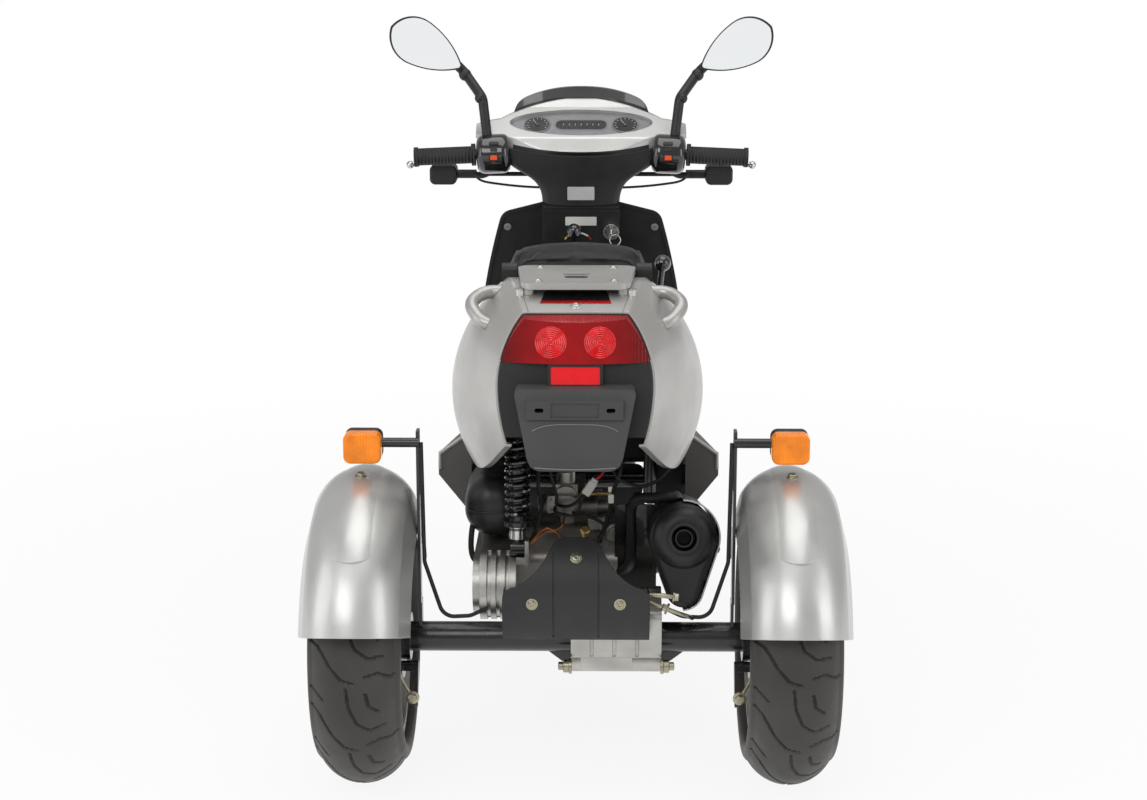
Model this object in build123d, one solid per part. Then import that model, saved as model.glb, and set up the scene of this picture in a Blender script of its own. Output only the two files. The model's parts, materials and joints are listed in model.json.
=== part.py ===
from build123d import *
import math
import os

# Wheels and tyres
WHEELBASE = 1320.0
REAR_TRACK = 708.0
REAR_TYRE_R = 245.0
REAR_TYRE_W = 150.0
REAR_RIM_R = 165.0
FRONT_TYRE_R = 235.0
FRONT_TYRE_W = 120.0
FRONT_RIM_R = 152.0
BEAD_INSET = 20.0
BEAD_FOOT = 10.0
SHOULDER_INSET = 9.0
CROWN_DROP = 38.0
WIDEST_DROP = 54.0
RIM_WALL = 6.0
RIM_LIP_T = 5.0
RIM_LIP_H = 8.0
SPOKES = 5
SPOKE_T = 16.0
SPOKE_HUB_W = 40.0
SPOKE_RIM_W = 26.0
REAR_HUB_R = 36.0
REAR_HUB_OUT = 34.0
DRUM_R = 72.0
DRUM_DEPTH = 55.0
DRUM_WALL_X = 6.0
STUB_R = 12.0
STUB_REACH = 50.0
FRONT_HUB_R = 27.0
FRONT_HUB_HALF = 40.0
DISC_R = 95.0
DISC_T = 4.0
DISC_X = 54.0

# Clearances and walls
FIT_GAP = 0.3
DRUM_GAP = 0.6
MOVE_GAP = 7.0
PANEL_T = 4.0

# Rear axle
BEAM_R = 25.0
BEAM_Z = 245.0
BEAM_FLANGE_R = 40.0
BEAM_FLANGE_T = 12.0
BRAKE_PLATE_R = 70.0
BRAKE_PLATE_T = 8.0
BRAKE_ARM_L = 56.0
BRAKE_ARM_BACK = 26.0
BRAKE_ARM_IN = 20.0
BRAKE_ARM_T = 6.0
BRAKE_TIP_R = 6.0
BRAKE_CAM_R = 9.0
BRAKE_CAM_BACK = 29.0
BRAKE_CAM_DROP = 43.0
GUSSET_L = 70.0
GUSSET_DROP = 10.0
GUSSET_T = 10.0
CASE_LEFT = -9.0
CASE_RIGHT = 142.0
CASE_HALF_Y = 56.0
CASE_TOP = 333.0
CASE_BOTTOM = 190.0
CASE_FOOT_R = 19.0
CASE_FOOT_BACK = 16.0
CASE_ROUND = 16.0
CASE_WEB = 6.0
CASE_GROOVES = 3

# Axle cover
COVER_HALF = 121.0
COVER_BOTTOM = 264.0
COVER_SHOULDER = 360.0
COVER_CREST_HALF = 46.0
COVER_CREST = 432.0
COVER_REAR_Y = -96.0
COVER_CREST_Y = -44.0
COVER_FOOT_Y = -72.0
COVER_BOW_Z = 325.0
COVER_ROUND = 20.0
COVER_CREASE_X = 37.0
COVER_CREASE_LOW = 270.0
CREASE_W = 2.4
CREASE_DEPTH = 1.6
COVER_BOSS_X = 72.0
COVER_BOSS_Z = 330.0
COVER_BOSS_R = 9.0

# Rear fenders
FENDER_R = 288.0
FENDER_HALF = 90.0
FENDER_SHOULDER = 76.0
FENDER_SHOULDER_DROP = 46.0
FENDER_SKIRT = 100.0
FENDER_T = 3.0
FENDER_REAR_ANGLE = 18.0
FENDER_FRONT_ANGLE = 152.0
PAD_HALF = 40.0
PAD_RISE = 2.5
PAD_REAR_ANGLE = 42.0
PAD_FRONT_ANGLE = 118.0
STAY_T = 5.0
STAY_W = 24.0
STAY_TOP = 606.0
STAY_ARM_DROP = 18.0
STAY_ARM_R = 8.0
CABLE_R = 3.4
LAMP_W = 62.0
LAMP_H = 51.0
LAMP_DEPTH = 46.0
LAMP_Z = 582.0
LAMP_Y = -28.0
LAMP_INSET = 4.0
LAMP_ROUND = 12.0
LAMP_EDGE = 5.0
LAMP_SPLIT = 2.0

# Engine group
CVT_OUT = -176.0
CVT_IN = -102.0
CVT_REAR_Y = 66.0
CVT_FRONT_Y = 296.0
CVT_Z = 316.0
CVT_R = 60.0
CVT_STEP = 12.0
CVT_GROOVE = 6.0
CVT_GROOVES = 3
CRANK_RIGHT = 70.0
CRANK_REAR_Y = 120.0
CRANK_FRONT_Y = 330.0
CRANK_BOTTOM = 262.0
CRANK_TOP = 396.0
CRANK_ROUND = 24.0
FLYWHEEL_Y = 260.0
FLYWHEEL_T = 26.0
FLYWHEEL_R = 52.0
CYLINDER_Z = 336.0
CYLINDER_HALF = 38.0
FIN_HALF = 58.0
FIN_T = 4.0
FIN_PITCH = 11.0
FIN_COUNT = 7
HEAD_L = 52.0
HANGER_HALF = 28.0
LUG_DEPTH = 12.0
LUG_REACH = 30.0
CARB_X = -20.0
CARB_Y = 184.0
CARB_Z = 446.0
CARB_R = 20.0
CARB_L = 70.0
STARTER_Y = 246.0
STARTER_LEFT = -70.0
STARTER_RIGHT = 34.0
STARTER_R = 20.0
AIRBOX_X = -142.0
AIRBOX_W = 104.0
AIRBOX_BOTTOM = 385.0
AIRBOX_H = 104.0
AIRBOX_Y0 = 94.0
AIRBOX_L = 150.0
AIRBOX_ROUND = 46.0
AIRBOX_FOOT_R = 9.0
SHOCK_X = -100.0
SHOCK_LOW_Y = 44.0
SHOCK_LOW_Z = 388.0
SHOCK_TOP_Y = 64.0
SHOCK_TOP_Z = 690.0
SHOCK_BODY_R = 14.0
SHOCK_ROD_R = 9.0
SHOCK_COLLAR_T = 8.0
SHOCK_LUG_T = 7.0
SHOCK_EYE_R = 14.0
SHOCK_EYE_W = 24.0
SHOCK_PIN_R = 6.0
SPRING_R = 18.5
SPRING_WIRE = 4.6
SPRING_PITCH = 13.0
SPRING_TURNS = 15
MUFFLER_X = 178.0
MUFFLER_Z = 424.0
MUFFLER_R = 57.0
MUFFLER_LOW_X = 178.0
MUFFLER_LOW_Z = 336.0
MUFFLER_LOW_R = 29.0
MUFFLER_REAR_Y = -18.0
MUFFLER_FRONT_Y = 320.0
MUFFLER_CAP = 26.0
MUFFLER_TIP_R = 21.0
MUFFLER_OUTLET_R = 15.0
MUFFLER_BORE = 30.0
MUFFLER_DOME = 16.0
MUFFLER_LIP = 5.0
MUFFLER_ROUND = 12.0
MUFFLER_TILT = 13.0
SHIELD_GAP = 3.0
SHIELD_T = 2.5
SHIELD_POST_R = 8.0
PIPE_R = 14.0
PIPE_DROP = 66.0
PIPE_BEND = 34.0

# Frame
SPINE_R = 22.0
SPINE_BEND = 90.0
SPINE_JOIN = 60.0
RAIL_R = 13.0
RAIL_X = 135.0
RAIL_BEND = 60.0
RAIL_KNEE_Z = 600.0
RAIL_HIGH_Z = 733.0
RAIL_TAIL_Z = 752.0
CROSS_Y = 505.0
CROSS_Z = 383.0
CROSS_R = 14.0

# Tail body, seat line and rear fittings
TAIL_TOP_Y = -168.0
TAIL_TOP_Z = 832.0
TAIL_LOW_Y = -200.0
TAIL_LOW_Z = 640.0
TAIL_BLOCK_Y = -146.0
TAIL_PANEL_FRONT = 84.0
PANEL_RETURN = 10.0
BODY_TOP_ROUND = 9.0
BODY_REACH = 60.0
SEAT_REAR_Y = 92.0
SEAT_REAR_Z = 838.0
SEAT_FRONT_Y = 516.0
SEAT_FRONT_Z = 702.0
LAMP_LENS_BOTTOM = 755.0
LENS_BULGE = 20.0
HOUSING_PROUD = 4.0
CARRIER_TOP = 722.0
CARRIER_BOTTOM = 603.0
CARRIER_TOP_HALF = 95.0
CARRIER_LOW_HALF = 70.0
CARRIER_LIP_Y = -272.0
CARRIER_LIP = 4.0
CARRIER_ROUND = 24.0
PLATE_PAD_Y = -250.0
PLATE_PAD_HALF = 74.0
PLATE_PAD_H = 30.0
PLATE_PAD_T = 16.0
PLATE_PAD_DROP = 14.0
PLATE_RECESS_HALF = 37.0
PLATE_SLOT_SPACING = 110.0
PLATE_SLOT_W = 7.0
PLATE_SLOT_L = 14.0
REFLECTOR_W = 80.0
REFLECTOR_T = 12.0
RACK_LIFT = 26.0
RACK_T = 10.0
RACK_HALF = 98.0
RACK_REAR_HALF = 84.0
RACK_ROUND = 22.0
RACK_SLOT_L = 44.0
RACK_SLOT_W = 22.0
RACK_REAR_Y = -122.0
RACK_FRONT_Y = 62.0
RACK_HOLE_X = 60.0
RACK_HOLE_Y = 45.0
RACK_HOLE_R = 3.3
RACK_POST_R = 9.0
LOOP_R = 11.0
LOOP_OUT = 174.0
LOOP_BEND = 32.0
LOOP_TOP_Y = 12.0
LOOP_LOW_Y = -58.0
LOOP_DROP = 39.0
BRACKET_L = 24.0
BRACKET_W = 26.0
BRACKET_R = 12.0

# Storage bin and seat
BIN_HALF = 98.0
BIN_REAR = 124.0
BIN_FRONT = 478.0
BIN_BOTTOM = 562.0
BIN_WALL = 4.0
BIN_RIM_T = 6.0
BIN_RIM_GAP = 2.0
BIN_ROUND = 30.0
BIN_FOOT_Y = 286.0
BIN_FOOT_W = 28.0
BIN_FOOT_Z = 640.0
SEAT_BASE_LIFT = 2.0
SEAT_BASE_T = 9.0
PILLION_TOP = 890.0
RIDER_TOP = 802.0
SEAT_EDGE_ROUND = 16.0
HINGE_R = 4.0
HINGE_BARREL_R = 8.0
HINGE_HALF = 30.0
HINGE_DROP = 8.0
HINGE_LUG_T = 11.0

# Floor, skirts and leg shield
FLOOR_Z = 412.0
FLOOR_T = 12.0
FLOOR_HALF = 196.0
FLOOR_FRONT = 1096.0
FLOOR_ROUND = 30.0
BOX_COVER_Y = 534.0
BOX_COVER_LOW_HALF = 150.0
BOX_COVER_TOP_HALF = 104.0
BOX_COVER_T = 10.0
BOX_COVER_ROUND = 20.0
GUARD_HALF = 130.0
GUARD_BOTTOM = 290.0
RIB_COUNT = 6
RIB_W = 12.0
RIB_H = 4.0
SKIRT_OUT = 257.0
SKIRT_REAR = 372.0
SKIRT_MID = 640.0
SKIRT_FRONT = 1010.0
SHIELD_TOP_Y = 940.0
SHIELD_TOP_Z = 862.0
SHIELD_LOW_Y = 1094.0
LEG_TOP_HALF = 72.0
LEG_SHOULDER_HALF = 163.0
LEG_SHOULDER_Z = 838.0
LEG_WAIST_HALF = 202.0
LEG_WAIST_Z = 672.0
LEG_FOOT_HALF = 217.0
LEG_FOOT_Z = 560.0
LEG_ROUND = 30.0
LEG_RIM = 8.0
COLUMN_HALF = 79.0
COLUMN_DEPTH = 34.0
COLUMN_FOOT_DEPTH = 74.0
APRON_NOSE = 78.0
APRON_BOTTOM = 604.0
APRON_LOW_HALF = 209.0
APRON_TOP_HALF = 157.0
WING_T = 8.0
ARCH_HALF = 130.0
ARCH_ROUND = 50.0

# Steering
RAKE = 26.0
FORK_OFFSET = 35.0
FORK_HALF = 102.0
SLIDER_R = 22.0
SLIDER_L = 228.0
SLIDER_FOOT = 28.0
STANCHION_R = 16.0
CLAMP_S = 296.0
CLAMP_T = 24.0
CLAMP_WALL = 26.0
HEAD_LOW_S = 334.0
HEAD_HIGH_S = 690.0
HEAD_R = 24.0
COLUMN_R = 14.0
COLUMN_TOP_S = 800.0
AXLE_R = 8.0
FRONT_FENDER_R = 254.0
FRONT_FENDER_HALF = 75.0
FRONT_FENDER_SHOULDER = 63.0
FRONT_FENDER_DROP = 40.0
FRONT_FENDER_SKIRT = 74.0
FENDER_LUG_R = 11.0
FRONT_FENDER_REAR = 52.0
FRONT_FENDER_NOSE = 156.0
CALIPER_LIFT = 8.0
CALIPER_H = 66.0
CALIPER_OUT = 17.0
CALIPER_IN = 11.0
NECK_S = 736.0
NECK_BOW = 10.0
NECK_ROUND = 18.0
BAR_R = 11.0
BAR_Y = 920.0
BAR_Z = 968.0
BAR_DROOP = 2.5
BAR_TUCK = 20.0
BAR_GAP = 0.1
GRIP_IN = 215.0
GRIP_OUT = 340.0
GRIP_R = 17.5
GRIP_END = 4.0
GRIP_FLANGE = 5.0
SWITCH_IN = 144.0
SWITCH_OUT = 212.0
SWITCH_R = 40.0
SWITCH_ROUND = 16.0
PERCH_Y = BAR_Y + 54.0
PERCH_Z = BAR_Z - 14.0
PERCH_H = 24.0
LEVER_R = 5.5
LEVER_BALL_R = 8.0
LEVER_END_X = 352.0
COWL_HALF = 166.0
COWL_WING = 214.0
COWL_REAR_Y = 896.0
COWL_NOSE_Y = 1086.0
COWL_SWEEP = 24.0
COWL_ROUND = 8.0
WING_Z = 1004.0
WING_TIP = 26.0
BAND_LOW_Z = 958.0
BAND_TOP_Z = 994.0
BAND_RISE = 34.0
CLUSTER_HALF = 146.0
CLUSTER_DEPTH = 16.0
CLUSTER_TOP_Y = 1002.0
CLUSTER_TOP_Z = 1048.0
COWL_TOP_Z = 1066.0
HEADLAMP_HALF = 96.0
HEADLAMP_SILL = 14.0
HEADLAMP_DEPTH = 38.0
HEADLAMP_ROUND = 14.0
SCREEN_TOP_Z = 1088.0
SCREEN_HALF = 142.0
SCREEN_T = 3.5
SCREEN_END_Z = 1058.0
SCREEN_SET = 180.0
SCREEN_BOW_R = 226.0
MIRROR_X = 316.0
MIRROR_Z = 1172.0
MIRROR_Y = 972.0
MIRROR_MAJOR = 83.0
MIRROR_MINOR = 48.0
MIRROR_TILT = 30.0
MIRROR_DEPTH = 34.0
MIRROR_GLASS_T = 3.0
MIRROR_GLASS_SHARE = 0.95
STEM_R = 10.0
STEM_X = 190.0
STEM_BEND = 22.0
STEM_KNEE_Z = 1072.0
FRONT_LAMP_X = 284.0
FRONT_LAMP_W = 56.0
FRONT_LAMP_H = 41.0
FRONT_LAMP_D = 44.0
FRONT_LAMP_Y = 974.0
FRONT_LAMP_Z = 913.0
STALK_R = 4.5
STALK_COLLAR = 40.0
GEAR_X = -14.0
GEAR_Z = 770.0
GEAR_REACH = 48.0
GEAR_RISE = 38.0
KNOB_R = 15.0
PARK_X = 152.0
PARK_Y = 400.0
PARK_Z = 818.0
PARK_ROOT_X = 138.0
PARK_ROOT_Z = 690.0
LOCK_X = 62.0
LOCK_Z = 802.0
LOCK_R = 16.0

REAR_WHEEL_X = REAR_TRACK / 2
REAR_OVERHANG = max(FENDER_R * math.cos(math.radians(FENDER_REAR_ANGLE)), -CARRIER_LIP_Y)
LENGTH = REAR_OVERHANG + WHEELBASE + FRONT_TYRE_R
REAR_AXLE_Y = REAR_OVERHANG - LENGTH / 2

engine_mid_x = (CVT_IN + CRANK_RIGHT) / 2
shock_cheek_x = SHOCK_X + SHOCK_EYE_W / 2 + FIT_GAP
airbox_foot_x = AIRBOX_X + AIRBOX_ROUND / 2
floor_top = FLOOR_Z + FLOOR_T


def xz(y):
    return Plane(origin=(0, y, 0), x_dir=(1, 0, 0), z_dir=(0, -1, 0))


def yz(x):
    return Plane(origin=(x, 0, 0), x_dir=(0, 1, 0), z_dir=(1, 0, 0))


def xy(z):
    return Plane(origin=(0, 0, z))


def polygon(*points):
    return make_face(Polyline(*points, close=True))


def rounded(radius, *points):
    return make_face(FilletPolyline(*points, radius=radius, close=True))


def across(face, x0, x1):
    """Extrude an outline drawn in Y and Z from x0 to x1."""
    return extrude(yz(x0) * face, amount=x1 - x0)


def along(face, y0, y1):
    """Extrude an outline drawn in X and Z from y0 to y1."""
    return extrude(xz(y1) * face, amount=y1 - y0)


def upward(face, z0, z1):
    """Extrude an outline drawn in X and Y from z0 to z1."""
    return extrude(xy(z0) * face, amount=z1 - z0)


def rod(start, end, radius):
    path = Vector(*end) - Vector(*start)
    return extrude(Plane(origin=start, z_dir=path) * Circle(radius), amount=path.length)


def tube(radius, bend, *points):
    path = FilletPolyline(*points, radius=bend)
    return sweep(Plane(origin=path @ 0, z_dir=path % 0) * Circle(radius), path=path)


def block(x0, x1, y0, y1, z0, z1):
    return Pos((x0 + x1) / 2, (y0 + y1) / 2, (z0 + z1) / 2) * Box(x1 - x0, y1 - y0, z1 - z0)


def mirrored(shape):
    return mirror(shape, about=Plane.YZ)


def pair(shape):
    return shape + mirrored(shape)


# Steering axis: it leans back by the rake and passes behind the front axle by the fork offset.
rake = math.radians(RAKE)
axis_up = Vector(0, -math.sin(rake), math.cos(rake))
axis_forward = Vector(0, math.cos(rake), math.sin(rake))
front_axle = Vector(0, WHEELBASE, FRONT_TYRE_R)
axis_foot = front_axle - axis_forward * FORK_OFFSET


def on_axis(s):
    return axis_foot + axis_up * s


def steer(s):
    """Plane across the steering axis; its local Y points forward."""
    return Plane(origin=on_axis(s), x_dir=(1, 0, 0), z_dir=axis_up)


# Wheels, made about the X axis and moved to their axles
def tyre(radius, width, rim_radius):
    side = width / 2
    bead = side - BEAD_INSET
    shoulder = (side - SHOULDER_INSET, radius - CROWN_DROP)
    widest = (side, radius - WIDEST_DROP)
    foot = (bead, rim_radius + BEAD_FOOT)
    left_shoulder = (-shoulder[0], shoulder[1])
    left_foot = (-foot[0], foot[1])
    outline = [
        Line((-bead, rim_radius), left_foot),
        ThreePointArc(left_foot, (-side, widest[1]), left_shoulder),
        ThreePointArc(left_shoulder, (0, radius), shoulder),
        ThreePointArc(shoulder, widest, foot),
        Line(foot, (bead, rim_radius)),
        Line((bead, rim_radius), (-bead, rim_radius)),
    ]
    return revolve(Plane.XZ * make_face(outline), Axis.X)


def rim_barrel(width, rim_radius):
    seat = width / 2 - BEAD_INSET + FIT_GAP
    lip = seat + RIM_LIP_T
    outer = rim_radius - FIT_GAP
    half = [
        (seat, outer),
        (seat, rim_radius + RIM_LIP_H),
        (lip, rim_radius + RIM_LIP_H),
        (lip, rim_radius - RIM_WALL),
    ]
    other = [(-x, r) for x, r in reversed(half)]
    return revolve(Plane.XZ * polygon(*half, *other), Axis.X)


def spokes(hub_radius, rim_radius, x0):
    """Tapered spokes from inside the hub to just inside the barrel wall."""
    root = hub_radius - RIM_WALL
    tip = rim_radius - RIM_WALL / 2
    outline = polygon(
        (-SPOKE_HUB_W / 2, root),
        (-SPOKE_RIM_W / 2, tip),
        (SPOKE_RIM_W / 2, tip),
        (SPOKE_HUB_W / 2, root),
    )
    spoke = across(outline, x0, x0 + SPOKE_T)
    return [Rot(X=360 * i / SPOKES) * spoke for i in range(SPOKES)]


def rear_rim():
    """Right rear rim with its brake drum and the stub axle that runs in the beam."""
    wheel = rim_barrel(REAR_TYRE_W, REAR_RIM_R)
    wheel += rod((-DRUM_DEPTH, 0, 0), (REAR_HUB_OUT, 0, 0), REAR_HUB_R)
    wheel += spokes(REAR_HUB_R, REAR_RIM_R, DRUM_WALL_X)
    wheel += rod((-DRUM_DEPTH, 0, 0), (DRUM_WALL_X, 0, 0), DRUM_R)
    wheel += rod((-DRUM_DEPTH - STUB_REACH, 0, 0), (-DRUM_DEPTH, 0, 0), STUB_R)
    wheel += rod((REAR_HUB_OUT, 0, 0), (REAR_HUB_OUT + STUB_R, 0, 0), STUB_R)
    return wheel


def front_rim():
    wheel = rim_barrel(FRONT_TYRE_W, FRONT_RIM_R)
    wheel += rod((-FRONT_HUB_HALF, 0, 0), (FRONT_HUB_HALF, 0, 0), FRONT_HUB_R)
    wheel += spokes(FRONT_HUB_R, FRONT_RIM_R, -SPOKE_T / 2)
    wheel += rod((-DISC_X, 0, 0), (-FRONT_HUB_HALF, 0, 0), FRONT_HUB_R)
    return wheel - rod((-DISC_X, 0, 0), (FRONT_HUB_HALF, 0, 0), AXLE_R + FIT_GAP)


def front_disc():
    disc = rod((-DISC_X - DISC_T, 0, 0), (-DISC_X, 0, 0), DISC_R)
    return disc - rod((-DISC_X - DISC_T, 0, 0), (-DISC_X, 0, 0), AXLE_R + DISC_T)


# Rear axle: beam tubes, brake plates, final drive case and the moulded cover behind them
drum_face_x = REAR_WHEEL_X - DRUM_DEPTH - DRUM_GAP
beam_end_x = drum_face_x - BRAKE_PLATE_T
stub_end_x = REAR_WHEEL_X - DRUM_DEPTH - STUB_REACH
stub_bore = STUB_R + FIT_GAP


def beam_bore(x0, x1):
    return rod((x0, 0, BEAM_Z), (x1, 0, BEAM_Z), stub_bore)


def gusset(case_face):
    """Triangular plate from a beam half down to the foot of the gear case, in X and Z."""
    foot_z = CASE_BOTTOM + CASE_FOOT_R
    return polygon(
        (case_face, BEAM_Z),
        (case_face, foot_z - GUSSET_DROP),
        (case_face + GUSSET_DROP, foot_z - GUSSET_DROP),
        (case_face + GUSSET_L, BEAM_Z),
    )


def axle_beam():
    """Beam tubes either side of the gear case, with flanges, stay feet, gussets and the cover's boss."""
    bore_end = stub_end_x - FIT_GAP
    halves = []
    for side, case_face in ((-1, -CASE_LEFT), (1, CASE_RIGHT)):
        half = rod((case_face, 0, BEAM_Z), (beam_end_x, 0, BEAM_Z), BEAM_R)
        half += rod((beam_end_x - BEAM_FLANGE_T, 0, BEAM_Z), (beam_end_x, 0, BEAM_Z), BEAM_FLANGE_R)
        half += block(stay_x, stay_x + STAY_T, -STAY_W / 2, STAY_W / 2, BEAM_Z, stay_foot_z)
        half += along(gusset(case_face), -GUSSET_T / 2, GUSSET_T / 2)
        half -= beam_bore(bore_end, beam_end_x)
        halves.append(half if side > 0 else mirrored(half))
    boss = rod((-COVER_BOSS_X, 0, COVER_BOSS_Z), (-COVER_BOSS_X, COVER_REAR_Y, COVER_BOSS_Z), COVER_BOSS_R)
    boss += block(
        -COVER_BOSS_X - COVER_BOSS_R, -COVER_BOSS_X + COVER_BOSS_R, -COVER_BOSS_R, COVER_BOSS_R,
        BEAM_Z, COVER_BOSS_Z,
    )
    boss -= rod((CVT_OUT, 0, BEAM_Z), (0, 0, BEAM_Z), STUB_R)
    return halves[1] + (halves[0] + boss - covered_space())


def brake_plates():
    """Plates that close the drums, each with a cam spindle and its lever below the beam."""
    plate = rod((beam_end_x, 0, BEAM_Z), (drum_face_x, 0, BEAM_Z), BRAKE_PLATE_R)
    cam_y = -BRAKE_CAM_BACK
    cam_z = BEAM_Z - BRAKE_CAM_DROP
    arm_x = beam_end_x - BRAKE_ARM_IN
    plate += rod((arm_x, cam_y, cam_z), (beam_end_x, cam_y, cam_z), BRAKE_CAM_R)
    root = Pos(cam_y, cam_z) * Circle(BRAKE_CAM_R)
    tip = Pos(cam_y - BRAKE_ARM_BACK, cam_z - BRAKE_ARM_L) * Circle(BRAKE_TIP_R)
    plate += across(make_hull(root.edges() + tip.edges()), arm_x - BRAKE_ARM_T, arm_x)
    plate -= beam_bore(beam_end_x, drum_face_x)
    return pair(plate)


def cover_arc(shift):
    """Side profile of the axle cover: one bow from its lower edge to its crest."""
    return ThreePointArc(
        (COVER_FOOT_Y + shift, COVER_BOTTOM),
        (COVER_REAR_Y + shift, COVER_BOW_Z),
        (COVER_CREST_Y + shift, COVER_CREST),
    )


def cover_bow(shift):
    """Space between the bow and its chord, right across the cover."""
    arc = cover_arc(shift)
    return make_face([arc, Line(arc @ 1, arc @ 0)])


def covered_space():
    """Everything behind the inner face of the axle cover."""
    arc = cover_arc(PANEL_T)
    back = COVER_REAR_Y - MOVE_GAP
    edges = [
        arc,
        Line(arc @ 1, (back, COVER_CREST)),
        Line((back, COVER_CREST), (back, COVER_BOTTOM)),
        Line((back, COVER_BOTTOM), arc @ 0),
    ]
    return across(make_face(edges), -COVER_HALF, COVER_HALF)


def cover_view():
    """Outline of the axle cover seen from behind: a crest that sweeps down to square shoulders."""
    crest_side = (COVER_CREST_HALF, COVER_CREST - COVER_ROUND)
    sweep_end = (COVER_HALF - COVER_ROUND, COVER_SHOULDER)
    side_top = (COVER_HALF, COVER_SHOULDER - COVER_ROUND)
    hollow = (COVER_CREST_HALF + COVER_ROUND, (COVER_CREST + 2 * COVER_SHOULDER) / 3)
    corner = (COVER_HALF - 0.3 * COVER_ROUND, COVER_SHOULDER - 0.3 * COVER_ROUND)
    crown = (0.72 * COVER_CREST_HALF, COVER_CREST - 0.3 * COVER_ROUND)
    half = [
        Line((0, COVER_CREST), (0, COVER_BOTTOM)),
        Line((0, COVER_BOTTOM), (COVER_HALF, COVER_BOTTOM)),
        Line((COVER_HALF, COVER_BOTTOM), side_top),
        ThreePointArc(side_top, corner, sweep_end),
        ThreePointArc(sweep_end, hollow, crest_side),
        ThreePointArc(crest_side, crown, (0, COVER_CREST)),
    ]
    return pair(make_face(half))


def axle_cover():
    """Bowed sheet behind the beam with side walls and two shallow creases."""
    sheet = across(cover_bow(0) - cover_bow(PANEL_T), -COVER_HALF, COVER_HALF)
    for x in (-COVER_HALF, COVER_HALF - PANEL_T):
        sheet += across(cover_bow(0), x, x + PANEL_T)
    for x in (-COVER_CREASE_X, COVER_CREASE_X):
        groove = across(cover_bow(0), x - CREASE_W / 2, x + CREASE_W / 2)
        groove -= across(cover_bow(CREASE_DEPTH), x - CREASE_W, x + CREASE_W)
        high = COVER_CREST - COVER_ROUND
        sheet -= groove & block(x - CREASE_W, x + CREASE_W, COVER_REAR_Y, 0, COVER_CREASE_LOW, high)
    return sheet & along(cover_view(), COVER_REAR_Y, 0)


def final_drive_case():
    """Cast gear case between the beam halves, with a bolted foot below and a neck to the crankcase."""
    foot_z = CASE_BOTTOM + CASE_FOOT_R
    belly_z = foot_z + CASE_FOOT_R
    profile = rounded(
        CASE_ROUND,
        (-CASE_HALF_Y, belly_z - CASE_WEB),
        (CASE_HALF_Y, belly_z - CASE_WEB),
        (CASE_HALF_Y, CASE_TOP - CASE_ROUND),
        (0, CASE_TOP),
        (-CASE_HALF_Y, CASE_TOP - 2 * CASE_ROUND),
    )
    case = across(profile, CASE_LEFT, CASE_RIGHT)
    case += rod((CASE_LEFT, -CASE_FOOT_BACK, foot_z), (CASE_RIGHT, -CASE_FOOT_BACK, foot_z), CASE_FOOT_R)
    case += block(
        CASE_LEFT + CASE_ROUND, CASE_RIGHT - 3 * CASE_ROUND, -CASE_FOOT_BACK - CASE_FOOT_R, CASE_FOOT_BACK,
        foot_z - CASE_WEB, belly_z,
    )
    case += block(
        0, CRANK_RIGHT - CASE_WEB, CASE_HALF_Y - CASE_ROUND, CRANK_REAR_Y,
        CRANK_BOTTOM + CASE_WEB, CASE_TOP - CASE_ROUND,
    )
    boss_z = COVER_BOSS_Z - COVER_BOSS_R
    case += rod((COVER_BOSS_X, 0, boss_z), (COVER_BOSS_X, COVER_REAR_Y, boss_z), COVER_BOSS_R)
    rib = (CASE_RIGHT - CASE_LEFT) / (CASE_GROOVES + 1)
    for i in range(CASE_GROOVES):
        x = CASE_LEFT + rib * (i + 1)
        case -= block(
            x - CASE_WEB, x, -CASE_HALF_Y, -CASE_HALF_Y + CASE_WEB, belly_z, CASE_TOP - 4 * CASE_ROUND
        )
    return case - covered_space()


# Rear fenders over the wheels, their stays and the indicators that the stays carry
stay_x = REAR_WHEEL_X - FENDER_HALF - FIT_GAP - STAY_T
stay_foot_z = BEAM_Z + BEAM_R + 40
lamp_x = REAR_WHEEL_X - LAMP_INSET


def fender_section(radius, half, shoulder, shoulder_drop, skirt, wall):
    """Arched section in axial and radial coordinates, open towards the axle, with a hem at each foot."""
    edges = []
    ends = []
    for inset in (0, wall):
        top = radius - inset
        corner = (shoulder - inset, radius - shoulder_drop)
        foot = (half - inset, radius - skirt)
        left_corner = (-corner[0], corner[1])
        left_foot = (-foot[0], foot[1])
        edges += [
            Line(left_foot, left_corner),
            ThreePointArc(left_corner, (0, top), corner),
            Line(corner, foot),
        ]
        ends.append((left_foot, foot))
    edges.append(Line(ends[0][0], ends[1][0]))
    edges.append(Line(ends[0][1], ends[1][1]))
    hem = Pos(half - wall, radius - skirt) * Circle(wall)
    return make_face(edges) + hem + mirrored(hem)


def swept_about_axle(face, rear_angle, front_angle):
    """Turn a section about the X axis from the front angle to the rear one, both from the rear level."""
    start = math.radians(front_angle)
    plane = Plane(origin=(0, 0, 0), x_dir=(1, 0, 0), z_dir=(0, -math.sin(start), -math.cos(start)))
    return revolve(plane * face, Axis.X, revolution_arc=front_angle - rear_angle)


def pad_section():
    low = FENDER_R - FENDER_T / 2
    sag = PAD_HALF ** 2 * FENDER_SHOULDER_DROP / FENDER_SHOULDER ** 2
    edges = [
        ThreePointArc((-PAD_HALF, low - sag), (0, low), (PAD_HALF, low - sag)),
        Line((PAD_HALF, low - sag), (PAD_HALF - PAD_RISE, FENDER_R + PAD_RISE - sag)),
        ThreePointArc(
            (PAD_HALF - PAD_RISE, FENDER_R + PAD_RISE - sag),
            (0, FENDER_R + PAD_RISE),
            (-PAD_HALF + PAD_RISE, FENDER_R + PAD_RISE - sag),
        ),
        Line((-PAD_HALF + PAD_RISE, FENDER_R + PAD_RISE - sag), (-PAD_HALF, low - sag)),
    ]
    return make_face(edges)


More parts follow.
